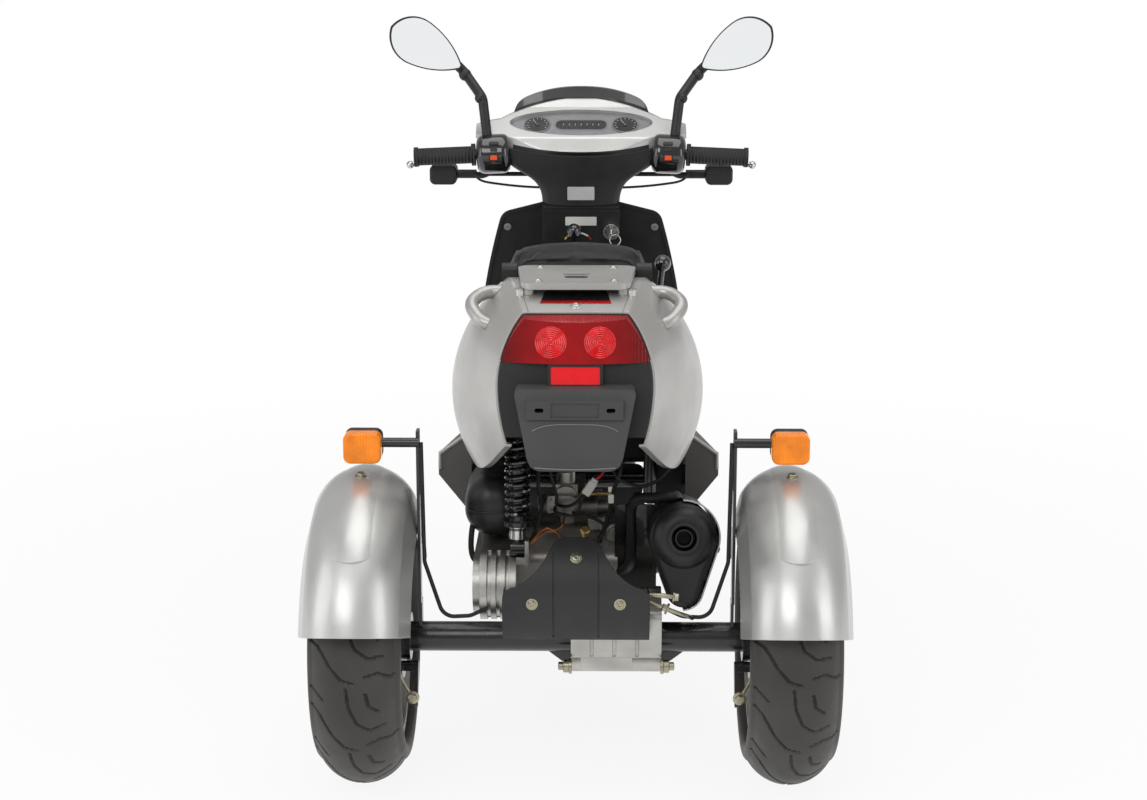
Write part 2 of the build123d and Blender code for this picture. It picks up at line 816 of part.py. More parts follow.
def fender_pad():
    """Raised pad over the crown, round at both ends."""
    turn = math.degrees(PAD_HALF / FENDER_R)
    pad = swept_about_axle(pad_section(), PAD_REAR_ANGLE + turn, PAD_FRONT_ANGLE - turn)
    rear_centre, front_centre = PAD_REAR_ANGLE + turn, PAD_FRONT_ANGLE - turn
    for low, centre in ((PAD_REAR_ANGLE, rear_centre), (front_centre, front_centre)):
        angle = math.radians(centre)
        outward = Plane(origin=(0, 0, 0), z_dir=(0, -math.cos(angle), math.sin(angle)))
        end = swept_about_axle(pad_section(), low, low + turn)
        pad += end & extrude(outward * Circle(PAD_HALF), amount=FENDER_R + PAD_HALF)
    return pad


def rear_fenders():
    arch = fender_section(
        FENDER_R, FENDER_HALF, FENDER_SHOULDER, FENDER_SHOULDER_DROP, FENDER_SKIRT, FENDER_T
    )
    fender = swept_about_axle(arch, FENDER_REAR_ANGLE, FENDER_FRONT_ANGLE) + fender_pad()
    return pair(Pos(REAR_WHEEL_X, 0, REAR_TYRE_R) * fender)


def fender_stays():
    """Upright flat bars from the beam to the indicators, beside the fenders' inner walls."""
    middle = LAMP_Y / 2
    bar = block(stay_x, stay_x + STAY_T, middle - STAY_W / 2, middle + STAY_W / 2, stay_foot_z, STAY_TOP)
    arm_z = STAY_TOP - STAY_ARM_DROP
    bar += rod((stay_x, LAMP_Y, arm_z), (lamp_x - LAMP_W / 2 - FIT_GAP, LAMP_Y, arm_z), STAY_ARM_R)
    return pair(bar)


def lamp_block(width, height, depth):
    x, z = width / 2, height / 2
    body = along(rounded(LAMP_ROUND, (-x, -z), (x, -z), (x, z), (-x, z)), -depth / 2, depth / 2)
    return fillet(body.faces().sort_by(Axis.Y)[0].edges(), LAMP_EDGE)


def rear_indicator(rear_half):
    body = Pos(lamp_x, LAMP_Y, LAMP_Z) * lamp_block(LAMP_W, LAMP_H, LAMP_DEPTH)
    split = LAMP_Y + LAMP_SPLIT
    reach = (LAMP_Y - LAMP_DEPTH, split) if rear_half else (split, LAMP_Y + LAMP_DEPTH)
    return pair(body & block(0, 2 * REAR_WHEEL_X, *reach, LAMP_Z - LAMP_H, LAMP_Z + LAMP_H))


# Engine group
def slot_outline(y0, y1, z, radius):
    return make_face([
        Line((y0, z + radius), (y1, z + radius)),
        ThreePointArc((y1, z + radius), (y1 + radius, z), (y1, z - radius)),
        Line((y1, z - radius), (y0, z - radius)),
        ThreePointArc((y0, z - radius), (y0 - radius, z), (y0, z + radius)),
    ])


def belt_cover():
    """Belt-drive case along the left side, with cooling grooves round its rear pulley."""
    step = CVT_OUT + CVT_STEP
    cover = across(slot_outline(CVT_REAR_Y, CVT_FRONT_Y, CVT_Z, CVT_R), step, CVT_IN)
    cover += across(slot_outline(CVT_REAR_Y, CVT_FRONT_Y, CVT_Z, CVT_R - CVT_STEP), CVT_OUT, step)
    ring = Pos(CVT_REAR_Y, CVT_Z) * (Circle(CVT_R) - Circle(CVT_R - CVT_GROOVE))
    rear_half = block(CVT_OUT, CVT_IN, CVT_REAR_Y - 2 * CVT_R, CVT_REAR_Y, 0, CVT_Z + 2 * CVT_R)
    for i in range(1, CVT_GROOVES + 1):
        x = CVT_IN - i * (CVT_IN - step) / (CVT_GROOVES + 1)
        cover -= across(ring, x - CVT_GROOVE / 2, x + CVT_GROOVE / 2) & rear_half
    return cover


def engine():
    """Crankcase, finned cylinder, carburettor, starter and the lugs for the damper and the frame."""
    case = rounded(
        CRANK_ROUND,
        (CRANK_REAR_Y, CRANK_BOTTOM),
        (CRANK_FRONT_Y, CRANK_BOTTOM),
        (CRANK_FRONT_Y, CRANK_TOP - CRANK_ROUND / 2),
        (CRANK_REAR_Y + 2 * CRANK_ROUND, CRANK_TOP),
        (CRANK_REAR_Y, CRANK_TOP - 2 * CRANK_ROUND),
    )
    unit = across(case, CVT_IN, CRANK_RIGHT)
    flywheel = (FLYWHEEL_Y, CYLINDER_Z)
    unit += rod((CRANK_RIGHT - 1, *flywheel), (CRANK_RIGHT + FLYWHEEL_T, *flywheel), FLYWHEEL_R)
    barrel_end = CRANK_FRONT_Y + FIN_PITCH * FIN_COUNT
    unit += block(
        engine_mid_x - CYLINDER_HALF, engine_mid_x + CYLINDER_HALF, CRANK_FRONT_Y - 1, barrel_end + HEAD_L,
        CYLINDER_Z - CYLINDER_HALF, CYLINDER_Z + CYLINDER_HALF,
    )
    for i in range(FIN_COUNT):
        y = CRANK_FRONT_Y + FIN_PITCH * (i + 0.6)
        unit += block(
            engine_mid_x - FIN_HALF, engine_mid_x + FIN_HALF, y, y + FIN_T,
            CYLINDER_Z - FIN_HALF, CYLINDER_Z + FIN_HALF,
        )
    unit += shock_lug(SHOCK_LOW_Y, SHOCK_LOW_Z, -1)
    lug_top = SHOCK_LOW_Z - SHOCK_EYE_R - FIT_GAP
    unit += block(
        CVT_IN, shock_cheek_x + SHOCK_LUG_T, SHOCK_LOW_Y - SHOCK_EYE_R, CRANK_REAR_Y + CRANK_ROUND,
        lug_top - LUG_DEPTH, lug_top,
    )
    hanger = block(
        engine_mid_x - HANGER_HALF, engine_mid_x + HANGER_HALF, CRANK_FRONT_Y - 2 * CRANK_ROUND, CROSS_Y,
        CRANK_TOP - CRANK_ROUND, CROSS_Z + CROSS_R,
    )
    hanger -= block(
        engine_mid_x - FIN_HALF, engine_mid_x + FIN_HALF, CRANK_FRONT_Y, CROSS_Y - 2 * CROSS_R,
        0, CROSS_Z + CROSS_R - LUG_DEPTH / 2,
    )
    return unit + (hanger - cross_bar()) + carburettor() + starter()


def carburettor():
    """Carburettor on an intake stub that rises from the crankcase, with its float bowl and top cap."""
    foot = (CARB_X, CARB_Y, CRANK_TOP - CRANK_ROUND)
    stub = rod(foot, (CARB_X, CARB_Y, CARB_Z), CARB_R * 0.7)
    body = rod((CARB_X, CARB_Y - CARB_L / 2, CARB_Z), (CARB_X, CARB_Y + CARB_L / 2, CARB_Z), CARB_R)
    body += Pos(CARB_X, CARB_Y, CARB_Z) * Box(2 * CARB_R, 2 * CARB_R, 2 * CARB_R)
    cap = rod((CARB_X, CARB_Y, CARB_Z), (CARB_X, CARB_Y, CARB_Z + 2 * CARB_R), CARB_R * 0.8)
    return stub + body + cap


def starter():
    """Starter motor lying across the top of the crankcase."""
    z = CRANK_TOP + STARTER_R - LUG_DEPTH
    motor = rod((STARTER_LEFT, STARTER_Y, z), (STARTER_RIGHT, STARTER_Y, z), STARTER_R)
    nose = rod((STARTER_RIGHT - 1, STARTER_Y, z), (STARTER_RIGHT + STARTER_R, STARTER_Y, z), STARTER_R * 0.6)
    return motor + nose


def airbox():
    middle = Pos(AIRBOX_X, AIRBOX_Y0 + AIRBOX_L / 2, AIRBOX_BOTTOM + AIRBOX_H / 2)
    box = middle * Box(AIRBOX_W, AIRBOX_L, AIRBOX_H)
    box = fillet(box.edges().filter_by(Axis.Y), AIRBOX_ROUND)
    box = fillet(box.faces().sort_by(Axis.Y)[0].edges(), AIRBOX_ROUND - PANEL_T)
    for share in (0.4, 0.75):
        foot = (airbox_foot_x, AIRBOX_Y0 + AIRBOX_L * share)
        box += rod((*foot, CVT_Z + CVT_R), (*foot, AIRBOX_BOTTOM + LUG_DEPTH), AIRBOX_FOOT_R)
    return box


shock_foot = Vector(SHOCK_X, SHOCK_LOW_Y, SHOCK_LOW_Z)
shock_head = Vector(SHOCK_X, SHOCK_TOP_Y, SHOCK_TOP_Z)
shock_length = (shock_head - shock_foot).length
shock_plane = Plane(origin=shock_foot, x_dir=(1, 0, 0), z_dir=shock_head - shock_foot)


def shock_lug(y, z, reach):
    """Cheek plate and pin beside a damper eye; the plate runs on up or down by the sign of reach."""
    z0, z1 = sorted((z + reach * LUG_REACH, z - reach * SHOCK_EYE_R))
    cheek = block(shock_cheek_x, shock_cheek_x + SHOCK_LUG_T, y - SHOCK_EYE_R, y + SHOCK_EYE_R, z0, z1)
    return cheek + rod((SHOCK_X - SHOCK_EYE_W / 2, y, z), (shock_cheek_x, y, z), SHOCK_PIN_R)


def shock_damper():
    unit = Pos(0, 0, shock_length / 2) * Cylinder(SHOCK_ROD_R, shock_length)
    unit += Pos(0, 0, shock_length * 0.3) * Cylinder(SHOCK_BODY_R, shock_length * 0.4)
    for height in (0, shock_length):
        unit += Pos(0, 0, height) * Rot(Y=90) * Cylinder(SHOCK_EYE_R, SHOCK_EYE_W)
    for height in (0, shock_length):
        unit -= Pos(0, 0, height) * Rot(Y=90) * Cylinder(SHOCK_PIN_R + FIT_GAP, SHOCK_EYE_W)
    for height in (spring_low - SHOCK_COLLAR_T / 2, spring_high + SHOCK_COLLAR_T / 2):
        unit += Pos(0, 0, height) * Cylinder(SPRING_R + SPRING_WIRE, SHOCK_COLLAR_T)
    return shock_plane * unit


spring_low = 46.0
spring_high = spring_low + SPRING_PITCH * SPRING_TURNS


def shock_spring():
    """Coil drawn as a corrugated sleeve, one ring to each turn of wire."""
    inner = SHOCK_BODY_R + FIT_GAP
    edges = [
        Line((inner, spring_low), (inner, spring_high)),
        Line((inner, spring_low), (SPRING_R, spring_low)),
    ]
    for i in range(SPRING_TURNS):
        low = spring_low + SPRING_PITCH * i
        high = low + SPRING_PITCH
        crest = (SPRING_R + SPRING_WIRE, (low + high) / 2)
        edges.append(ThreePointArc((SPRING_R, low), crest, (SPRING_R, high)))
    edges.append(Line((inner, spring_high), (SPRING_R, spring_high)))
    return shock_plane * revolve(Plane.XZ * make_face(edges), Axis.Z)


def muffler_outline(grow):
    upper = Pos(MUFFLER_X, MUFFLER_Z) * Circle(MUFFLER_R + grow)
    lower = Pos(MUFFLER_LOW_X, MUFFLER_LOW_Z) * Circle(MUFFLER_LOW_R + grow)
    return make_hull(upper.edges() + lower.edges())


def tipped(shape):
    """Tip a piece of the silencer about its outlet, so that the front end lies lower."""
    return shape.rotate(Axis((0, MUFFLER_REAR_Y, MUFFLER_Z), (1, 0, 0)), -MUFFLER_TILT)


def muffler_cap():
    """Domed end of the silencer with a stepped outlet, turned about the silencer's axis."""
    lip = MUFFLER_TIP_R + MUFFLER_LIP
    rim = MUFFLER_R - MUFFLER_LIP
    outline = make_face([
        Line((MUFFLER_TIP_R, MUFFLER_BORE), (MUFFLER_TIP_R, -MUFFLER_CAP)),
        Line((MUFFLER_TIP_R, -MUFFLER_CAP), (lip, -MUFFLER_CAP)),
        Line((lip, -MUFFLER_CAP), (lip, -MUFFLER_DOME)),
        ThreePointArc((lip, -MUFFLER_DOME), (0.82 * rim, -0.72 * MUFFLER_DOME), (rim, 0)),
        Line((rim, 0), (rim, MUFFLER_BORE)),
        Line((rim, MUFFLER_BORE), (MUFFLER_TIP_R, MUFFLER_BORE)),
    ])
    return revolve(outline, Axis.Y)


def muffler():
    """Drop-shaped silencer with a domed outlet end and the pipe from the cylinder head."""
    body = along(muffler_outline(0), MUFFLER_REAR_Y, MUFFLER_FRONT_Y)
    body = fillet(body.faces().sort_by(Axis.Y)[0].edges(), MUFFLER_ROUND)
    place = Pos(MUFFLER_X, MUFFLER_REAR_Y, MUFFLER_Z)
    bore = rod((0, -MUFFLER_CAP, 0), (0, MUFFLER_BORE, 0), MUFFLER_TIP_R)
    outlet = rod((0, -MUFFLER_CAP + MUFFLER_LIP, 0), (0, MUFFLER_BORE + 1, 0), MUFFLER_OUTLET_R)
    outlet -= rod((0, -MUFFLER_CAP, 0), (0, MUFFLER_BORE, 0), MUFFLER_OUTLET_R - SHIELD_T)
    body = body - place * bore + place * (muffler_cap() + outlet)
    head_y = CRANK_FRONT_Y + FIN_PITCH * FIN_COUNT + HEAD_L / 2
    port_z = CYLINDER_Z - CYLINDER_HALF
    low_z = port_z - PIPE_DROP
    pipe_x = MUFFLER_LOW_X - MUFFLER_LOW_R / 2
    pipe_z = MUFFLER_LOW_Z + MUFFLER_LIP
    pipe = tube(
        PIPE_R, PIPE_BEND,
        (engine_mid_x, head_y, port_z),
        (engine_mid_x, head_y, low_z),
        (pipe_x, head_y, low_z),
        (pipe_x, head_y, pipe_z),
        (pipe_x, MUFFLER_FRONT_Y - MUFFLER_R / 2, pipe_z),
    )
    y0, y1 = FLYWHEEL_Y - HANGER_HALF, FLYWHEEL_Y + HANGER_HALF
    arm_x = CRANK_RIGHT + FLYWHEEL_T
    arm_z = MUFFLER_Z - (FLYWHEEL_Y - MUFFLER_REAR_Y) * math.sin(math.radians(MUFFLER_TILT))
    hanger = block(arm_x, MUFFLER_X - MUFFLER_R + MUFFLER_ROUND, y0, y1, arm_z - LUG_DEPTH / 2, arm_z)
    hanger += block(arm_x, arm_x + LUG_DEPTH / 2, y0, y1, CYLINDER_Z, arm_z)
    return tipped(body) + pipe + hanger


def muffler_shield():
    """Heat shield strip that follows the silencer's outer side on a short post."""
    band = muffler_outline(SHIELD_GAP + SHIELD_T) - muffler_outline(SHIELD_GAP)
    strip = along(band, MUFFLER_REAR_Y + MUFFLER_ROUND, MUFFLER_FRONT_Y - MUFFLER_R)
    strip -= block(0, MUFFLER_X, MUFFLER_REAR_Y, MUFFLER_FRONT_Y, 0, MUFFLER_Z + 2 * MUFFLER_R)
    post_y = (MUFFLER_REAR_Y + MUFFLER_FRONT_Y) / 2
    outer_x = MUFFLER_X + MUFFLER_R
    post = (post_y, MUFFLER_Z)
    strip += rod((outer_x - SHIELD_GAP, *post), (outer_x + SHIELD_GAP + SHIELD_T / 2, *post), SHIELD_POST_R)
    return tipped(strip - along(muffler_outline(0), MUFFLER_REAR_Y, MUFFLER_FRONT_Y))


# Frame: head tube and spine in one piece, and the two rails that rise under the seat
def cross_bar():
    return rod((-RAIL_X, CROSS_Y, CROSS_Z), (RAIL_X, CROSS_Y, CROSS_Z), CROSS_R)


def rail(side):
    x = RAIL_X * side
    path = tube(
        RAIL_R, RAIL_BEND,
        (x, CROSS_Y, CROSS_Z - 2 * RAIL_R),
        (x, CROSS_Y - 3.5 * RAIL_R, RAIL_KNEE_Z),
        (x * 0.86, SEAT_REAR_Y, RAIL_HIGH_Z),
        (x * 0.62, TAIL_BLOCK_Y - RAIL_R, RAIL_TAIL_Z),
    )
    return path - block(-RAIL_X, RAIL_X, TAIL_BLOCK_Y - 4 * RAIL_R, TAIL_BLOCK_Y, 0, TAIL_TOP_Z)


def frame_rails():
    left = rail(-1)
    bridge_z = SHOCK_TOP_Z + SHOCK_EYE_R + LUG_DEPTH / 3
    left += block(
        SHOCK_X - 2 * RAIL_R, shock_cheek_x + SHOCK_LUG_T,
        SHOCK_TOP_Y - SHOCK_EYE_R, SHOCK_TOP_Y + SHOCK_EYE_R,
        bridge_z, SHOCK_TOP_Z + LUG_REACH + SHOCK_EYE_R,
    )
    left += shock_lug(SHOCK_TOP_Y, SHOCK_TOP_Z, 1)
    return left + rail(1)


def frame_spine():
    """Head tube, backbone under the floor, the engine's cross bar and the floor's outrigger and feet."""
    spine = extrude(steer(HEAD_LOW_S) * Circle(HEAD_R), amount=HEAD_HIGH_S - HEAD_LOW_S)
    run_z = CROSS_Z - CROSS_R
    knee = (0, SHIELD_LOW_Y - 2 * SPINE_R, run_z)
    spine += tube(SPINE_R, SPINE_BEND, tuple(on_axis(HEAD_LOW_S + SPINE_JOIN)), knee, (0, CROSS_Y, run_z))
    spine += cross_bar() - rail(1) - rail(-1)
    mid_y = (BOX_COVER_Y + FLOOR_FRONT) / 2
    reach = FLOOR_HALF - CROSS_R
    spine += rod((-reach, mid_y, CROSS_Z), (reach, mid_y, CROSS_Z), CROSS_R)
    for share in (0.1, 0.4, 0.74):
        y = BOX_COVER_Y + (FLOOR_FRONT - BOX_COVER_Y) * share
        spine += block(-CROSS_R, CROSS_R, y - CROSS_R, y + CROSS_R, run_z, FLOOR_Z - FIT_GAP)
    return spine - extrude(steer(HEAD_LOW_S) * Circle(COLUMN_R + FIT_GAP), amount=HEAD_HIGH_S - HEAD_LOW_S)


# Tail body: a lofted shell cut into side panels and a tail panel
def seat_line(y):
    slope = (SEAT_FRONT_Z - SEAT_REAR_Z) / (SEAT_FRONT_Y - SEAT_REAR_Y)
    return SEAT_REAR_Z + slope * (y - SEAT_REAR_Y)


# Columns: y, top half width, top z, waist half width, waist z, bottom half width, bottom z
BODY_STATIONS = [
    (-214, 72, 812, 118, 712, 106, 630),
    (-120, 92, 846, 146, 700, 128, 588),
    (SEAT_REAR_Y - 20, 116, seat_line(SEAT_REAR_Y) + 8, 204, 656, 166, 520),
    (300, 142, seat_line(300), 208, 612, 190, 504),
    (SEAT_FRONT_Y + 6, 112, seat_line(SEAT_FRONT_Y), 170, 570, 168, 440),
]


def waist_arc(waist, waist_z, x, z):
    """Arc that leaves the waist upright and ends at (x, z)."""
    dx, dz = waist - x, z - waist_z
    radius = (dx * dx + dz * dz) / (2 * dx)
    turn = math.atan2(abs(dz), radius - dx) / 2
    middle = (waist - radius + radius * math.cos(turn), waist_z + math.copysign(radius * math.sin(turn), dz))
    return (waist, waist_z), middle, (x, z)


def body_section(top, top_z, waist, waist_z, low, low_z):
    upper = waist_arc(waist, waist_z, top, top_z)
    lower = waist_arc(waist, waist_z, low, low_z)
    other = [[(-x, z) for x, z in arc] for arc in (upper, lower)]
    face = make_face([
        ThreePointArc(*upper),
        Line(upper[2], other[0][2]),
        ThreePointArc(*other[0]),
        ThreePointArc(*other[1]),
        Line(other[1][2], lower[2]),
        ThreePointArc(*lower),
    ])
    return fillet(face.vertices().group_by(Axis.Y)[-1], BODY_TOP_ROUND)


def body_loft(inset):
    sections = []
    for y, *shape in BODY_STATIONS:
        face = body_section(*shape)
        sections.append(xz(y) * (offset(face, -inset, kind=Kind.INTERSECTION) if inset else face))
    return loft(sections)


def body_opening(column, inset, reach):
    """Loft of rectangles from the waist out through the top (column 1) or the bottom (column 5)."""
    sections = []
    for station in BODY_STATIONS:
        y, half, edge, middle = station[0], station[column] - inset, station[column + 1], station[4]
        outer = edge + reach
        sections.append(xz(y) * polygon((-half, middle), (half, middle), (half, outer), (-half, outer)))
    return loft(sections)


def behind_tail(shift):
    """Everything behind the slanted plane of the tail lamp."""
    run = (TAIL_TOP_Y - TAIL_LOW_Y) / (TAIL_TOP_Z - TAIL_LOW_Z)
    top_z, low_z = TAIL_TOP_Z + LENGTH, TAIL_LOW_Z - LENGTH
    top_y = TAIL_TOP_Y + run * (top_z - TAIL_TOP_Z) + shift
    low_y = TAIL_LOW_Y - run * (TAIL_LOW_Z - low_z) + shift
    side = polygon((top_y, top_z), (low_y, low_z), (-LENGTH, low_z), (-LENGTH, top_z))
    return across(side, -REAR_TRACK, REAR_TRACK)


body_outer = body_loft(0)
body_shell = body_outer - body_loft(PANEL_T) - behind_tail(0)
top_opening = body_opening(1, PANEL_RETURN, BODY_REACH)
bottom_opening = body_opening(5, PANEL_RETURN, -BODY_REACH)


def side_panels():
    """Both flanks of the body, open above and below, with the top edges trimmed to the seat line."""
    above_seat = seat_slab(0, BODY_REACH, SEAT_REAR_Y - MOVE_GAP, SEAT_FRONT_Y + MOVE_GAP)
    return body_shell - top_opening - bottom_opening - above_seat


def tail_panel():
    fitted = body_opening(1, PANEL_RETURN + FIT_GAP, BODY_REACH)
    return body_shell & fitted & block(-RAIL_X, RAIL_X, CARRIER_LIP_Y, TAIL_PANEL_FRONT, RAIL_HIGH_Z, rack_z)


def tail_plug(z0, z1, rear_shift):
    """Filling of the tail opening between two heights, standing out behind the panels by rear_shift."""
    half = BODY_STATIONS[1][3]
    plug = body_loft(PANEL_T + FIT_GAP) & block(-half, half, CARRIER_LIP_Y, TAIL_BLOCK_Y, z0, z1)
    return plug - behind_tail(-rear_shift)


def tail_lamp_lens():
    """Red lens that fills the upper tail opening and bows out backwards across its width."""
    lens = tail_plug(LAMP_LENS_BOTTOM, TAIL_TOP_Z + LENS_BULGE, LENS_BULGE)
    half = BODY_STATIONS[0][3]
    deep = 4 * LENS_BULGE
    bow = make_face([
        ThreePointArc((-half, 0), (0, -LENS_BULGE), (half, 0)),
        Line((half, 0), (half, deep)),
        Line((half, deep), (-half, deep)),
        Line((-half, deep), (-half, 0)),
    ])
    tail_up = (0, TAIL_TOP_Y - TAIL_LOW_Y, TAIL_TOP_Z - TAIL_LOW_Z)
    tail_plane = Plane(origin=(0, TAIL_LOW_Y, TAIL_LOW_Z), x_dir=(1, 0, 0), z_dir=tail_up)
    return lens & extrude(tail_plane * bow, amount=2 * (TAIL_TOP_Z - TAIL_LOW_Z))


def tail_lamp_housing():
    return tail_plug(TAIL_LOW_Z, LAMP_LENS_BOTTOM - FIT_GAP, HOUSING_PROUD)


def rear_reflector():
    z1 = LAMP_LENS_BOTTOM - HOUSING_PROUD
    z0 = CARRIER_TOP + FIT_GAP
    x = REFLECTOR_W / 2
    face = rounded(HOUSING_PROUD, (-x, z0), (x, z0), (x, z1), (-x, z1))
    back = behind_tail(-HOUSING_PROUD - FIT_GAP) - behind_tail(-HOUSING_PROUD - REFLECTOR_T)
    return along(face, CARRIER_LIP_Y, TAIL_BLOCK_Y) & back


def carrier_view(inset):
    """Outline of the plate carrier seen from behind, with round lower corners."""
    face = polygon(
        (-CARRIER_TOP_HALF, CARRIER_TOP),
        (CARRIER_TOP_HALF, CARRIER_TOP),
        (CARRIER_LOW_HALF, CARRIER_BOTTOM),
        (-CARRIER_LOW_HALF, CARRIER_BOTTOM),
    )
    face = fillet(face.vertices().group_by(Axis.Y)[0], CARRIER_ROUND)
    face = fillet(face.vertices().group_by(Axis.Y)[-1], CARRIER_ROUND / 3)
    return offset(face, -inset) if inset else face


def plate_carrier():
    """Moulded hood below the tail lamp, with a lip and the slotted pad for a registration plate."""
    top_y = PLATE_PAD_Y + PLATE_PAD_T
    low_y = CARRIER_LIP_Y + CARRIER_LIP
    front_y = TAIL_BLOCK_Y - 5 * PANEL_T

    def hood(inset):
        side = polygon(
            (front_y, CARRIER_TOP - inset),
            (top_y + inset, CARRIER_TOP - inset),
            (low_y + inset, CARRIER_BOTTOM),
            (front_y, CARRIER_BOTTOM),
        )
        block_of = across(side, -CARRIER_TOP_HALF, CARRIER_TOP_HALF)
        return block_of & along(carrier_view(inset), CARRIER_LIP_Y, front_y)

    shell = hood(0) - hood(PANEL_T)
    lip_z = CARRIER_BOTTOM + 3 * CARRIER_LIP
    lip = polygon(
        (low_y + PANEL_T, CARRIER_BOTTOM),
        (CARRIER_LIP_Y, CARRIER_BOTTOM),
        (CARRIER_LIP_Y, lip_z - CARRIER_LIP),
        (low_y + PANEL_T, lip_z),
    )
    lip = across(lip, -CARRIER_TOP_HALF, CARRIER_TOP_HALF)
    shell += lip & along(carrier_view(0), CARRIER_LIP_Y, front_y)
    pad_z1 = CARRIER_TOP - PLATE_PAD_DROP
    pad_z0 = pad_z1 - PLATE_PAD_H
    shell += block(-PLATE_PAD_HALF, PLATE_PAD_HALF, PLATE_PAD_Y, top_y + PANEL_T, pad_z0, pad_z1)
    shell -= block(
        -PLATE_RECESS_HALF, PLATE_RECESS_HALF, PLATE_PAD_Y, PLATE_PAD_Y + PANEL_T / 2,
        pad_z0 + PANEL_T, pad_z1 - PANEL_T,
    )
    for side in (-1, 1):
        place = Pos(side * PLATE_SLOT_SPACING / 2, (pad_z0 + pad_z1) / 2)
        shell -= along(place * SlotOverall(PLATE_SLOT_L, PLATE_SLOT_W), PLATE_PAD_Y, TAIL_LOW_Y + PANEL_T)
    return shell - tail_lamp_housing()


rack_z = TAIL_TOP_Z + RACK_LIFT
loop_low_z = TAIL_TOP_Z - LOOP_DROP


def rear_rack():
    """Carrier plate on two posts, and a grab loop at each side that starts and ends in the body."""
    plate = rounded(
        RACK_ROUND,
        (-RACK_REAR_HALF, RACK_REAR_Y),
        (RACK_REAR_HALF, RACK_REAR_Y),
        (RACK_HALF, RACK_FRONT_Y),
        (-RACK_HALF, RACK_FRONT_Y),
    )
    mid_y = (RACK_REAR_Y + RACK_FRONT_Y) / 2
    plate -= Pos(0, mid_y) * SlotOverall(RACK_SLOT_L, RACK_SLOT_W)
    for x in (-RACK_HOLE_X, RACK_HOLE_X):
        for y in (mid_y - RACK_HOLE_Y, mid_y + RACK_HOLE_Y):
            plate -= Pos(x, y) * Circle(RACK_HOLE_R)
    rack = upward(plate, rack_z, rack_z + RACK_T)
    post_y = RACK_REAR_Y + 2 * RACK_POST_R
    post_x = RACK_REAR_HALF - RACK_POST_R
    for side in (-1, 1):
        post = (side * post_x, post_y)
        rack += rod((*post, TAIL_TOP_Z - LOOP_R), (*post, rack_z + 1), RACK_POST_R)
        rack += tube(
            LOOP_R, LOOP_BEND,
            (side * (RACK_HALF - LOOP_R), LOOP_TOP_Y, TAIL_TOP_Z),
            (side * (LOOP_OUT - 2 * LOOP_R), LOOP_TOP_Y, TAIL_TOP_Z),
            (side * LOOP_OUT, (LOOP_TOP_Y + LOOP_LOW_Y) / 2, (TAIL_TOP_Z + loop_low_z + LOOP_R) / 2),
            (side * (LOOP_OUT - 2 * LOOP_R), LOOP_LOW_Y, loop_low_z),
            (side * (RACK_HALF - LOOP_R), LOOP_LOW_Y, loop_low_z - LOOP_R),
        )
    return rack - body_outer


def rack_brackets():
    """Black knuckles that hold the rack's front corners to the body, clear of the swinging seat."""
    y1 = SEAT_REAR_Y - MOVE_GAP
    y0 = y1 - BRACKET_L
    leg = block(RACK_HALF + FIT_GAP, RACK_HALF + BRACKET_W, y0, y1, TAIL_TOP_Z - LOOP_DROP, rack_z)
    pivot = (y1 - BRACKET_R, rack_z)
    knuckle = rod((RACK_HALF + FIT_GAP, *pivot), (RACK_HALF + BRACKET_W + FIT_GAP, *pivot), BRACKET_R)
    side = (leg + knuckle) - body_outer
    return pair(side.solids().sort_by(Axis.Z)[-1])


# Storage bin, seat and their hinge
hinge_y = SEAT_FRONT_Y + HINGE_BARREL_R
hinge_z = seat_line(SEAT_FRONT_Y) - HINGE_DROP


def seat_slab(low, high, y0, y1):
    """Slab parallel to the seat line, between two heights above it."""
    face = polygon(
        (y0, seat_line(y0) + low),
        (y1, seat_line(y1) + low),
        (y1, seat_line(y1) + high),
        (y0, seat_line(y0) + high),
    )
    return across(face, -REAR_TRACK, REAR_TRACK)


def bin_tub(inset, floor_z):
    face = rounded(
        BIN_ROUND,
        (-BIN_HALF + inset, BIN_REAR + inset),
        (BIN_HALF - inset, BIN_REAR + inset),
        (BIN_HALF - inset, BIN_FRONT - inset),
        (-BIN_HALF + inset, BIN_FRONT - inset),
    )
    return upward(face, floor_z, PILLION_TOP)


def storage_bin():
    """Tub under the seat with a rim on the body's top edges, side feet on the rails and the hinge pin."""
    rim = body_opening(1, PANEL_RETURN + FIT_GAP, BODY_REACH)
    rim_low = -BIN_RIM_T - BIN_RIM_GAP
    rim &= seat_slab(rim_low, -BIN_RIM_GAP, SEAT_REAR_Y + PANEL_T, SEAT_FRONT_Y - PANEL_RETURN)
    tub = bin_tub(0, BIN_BOTTOM) & seat_slab(-BIN_BOTTOM, -BIN_RIM_GAP, SEAT_REAR_Y, SEAT_FRONT_Y)
    bin_body = rim + tub
    for side in (-1, 1):
        x0, x1 = sorted((side * (BIN_HALF - BIN_WALL / 2), side * (RAIL_X + BIN_WALL)))
        foot = block(
            x0, x1, BIN_FOOT_Y, BIN_FOOT_Y + BIN_FOOT_W, BIN_FOOT_Z, BIN_FOOT_Z + 1.5 * BIN_FOOT_W
        )
        bin_body += foot - rail(side)
    bin_body -= bin_tub(BIN_WALL, BIN_BOTTOM + BIN_WALL)
    for side in (-1, 1):
        x0, x1 = sorted((side * (HINGE_HALF + FIT_GAP), side * (HINGE_HALF + HINGE_LUG_T)))
        bin_body += block(
            x0, x1, SEAT_FRONT_Y - HINGE_HALF, hinge_y + HINGE_R, hinge_z - HINGE_BARREL_R, hinge_z + HINGE_R
        )
    pin = HINGE_HALF + HINGE_LUG_T
    return bin_body + rod((-pin, hinge_y, hinge_z), (pin, hinge_y, hinge_z), HINGE_R)


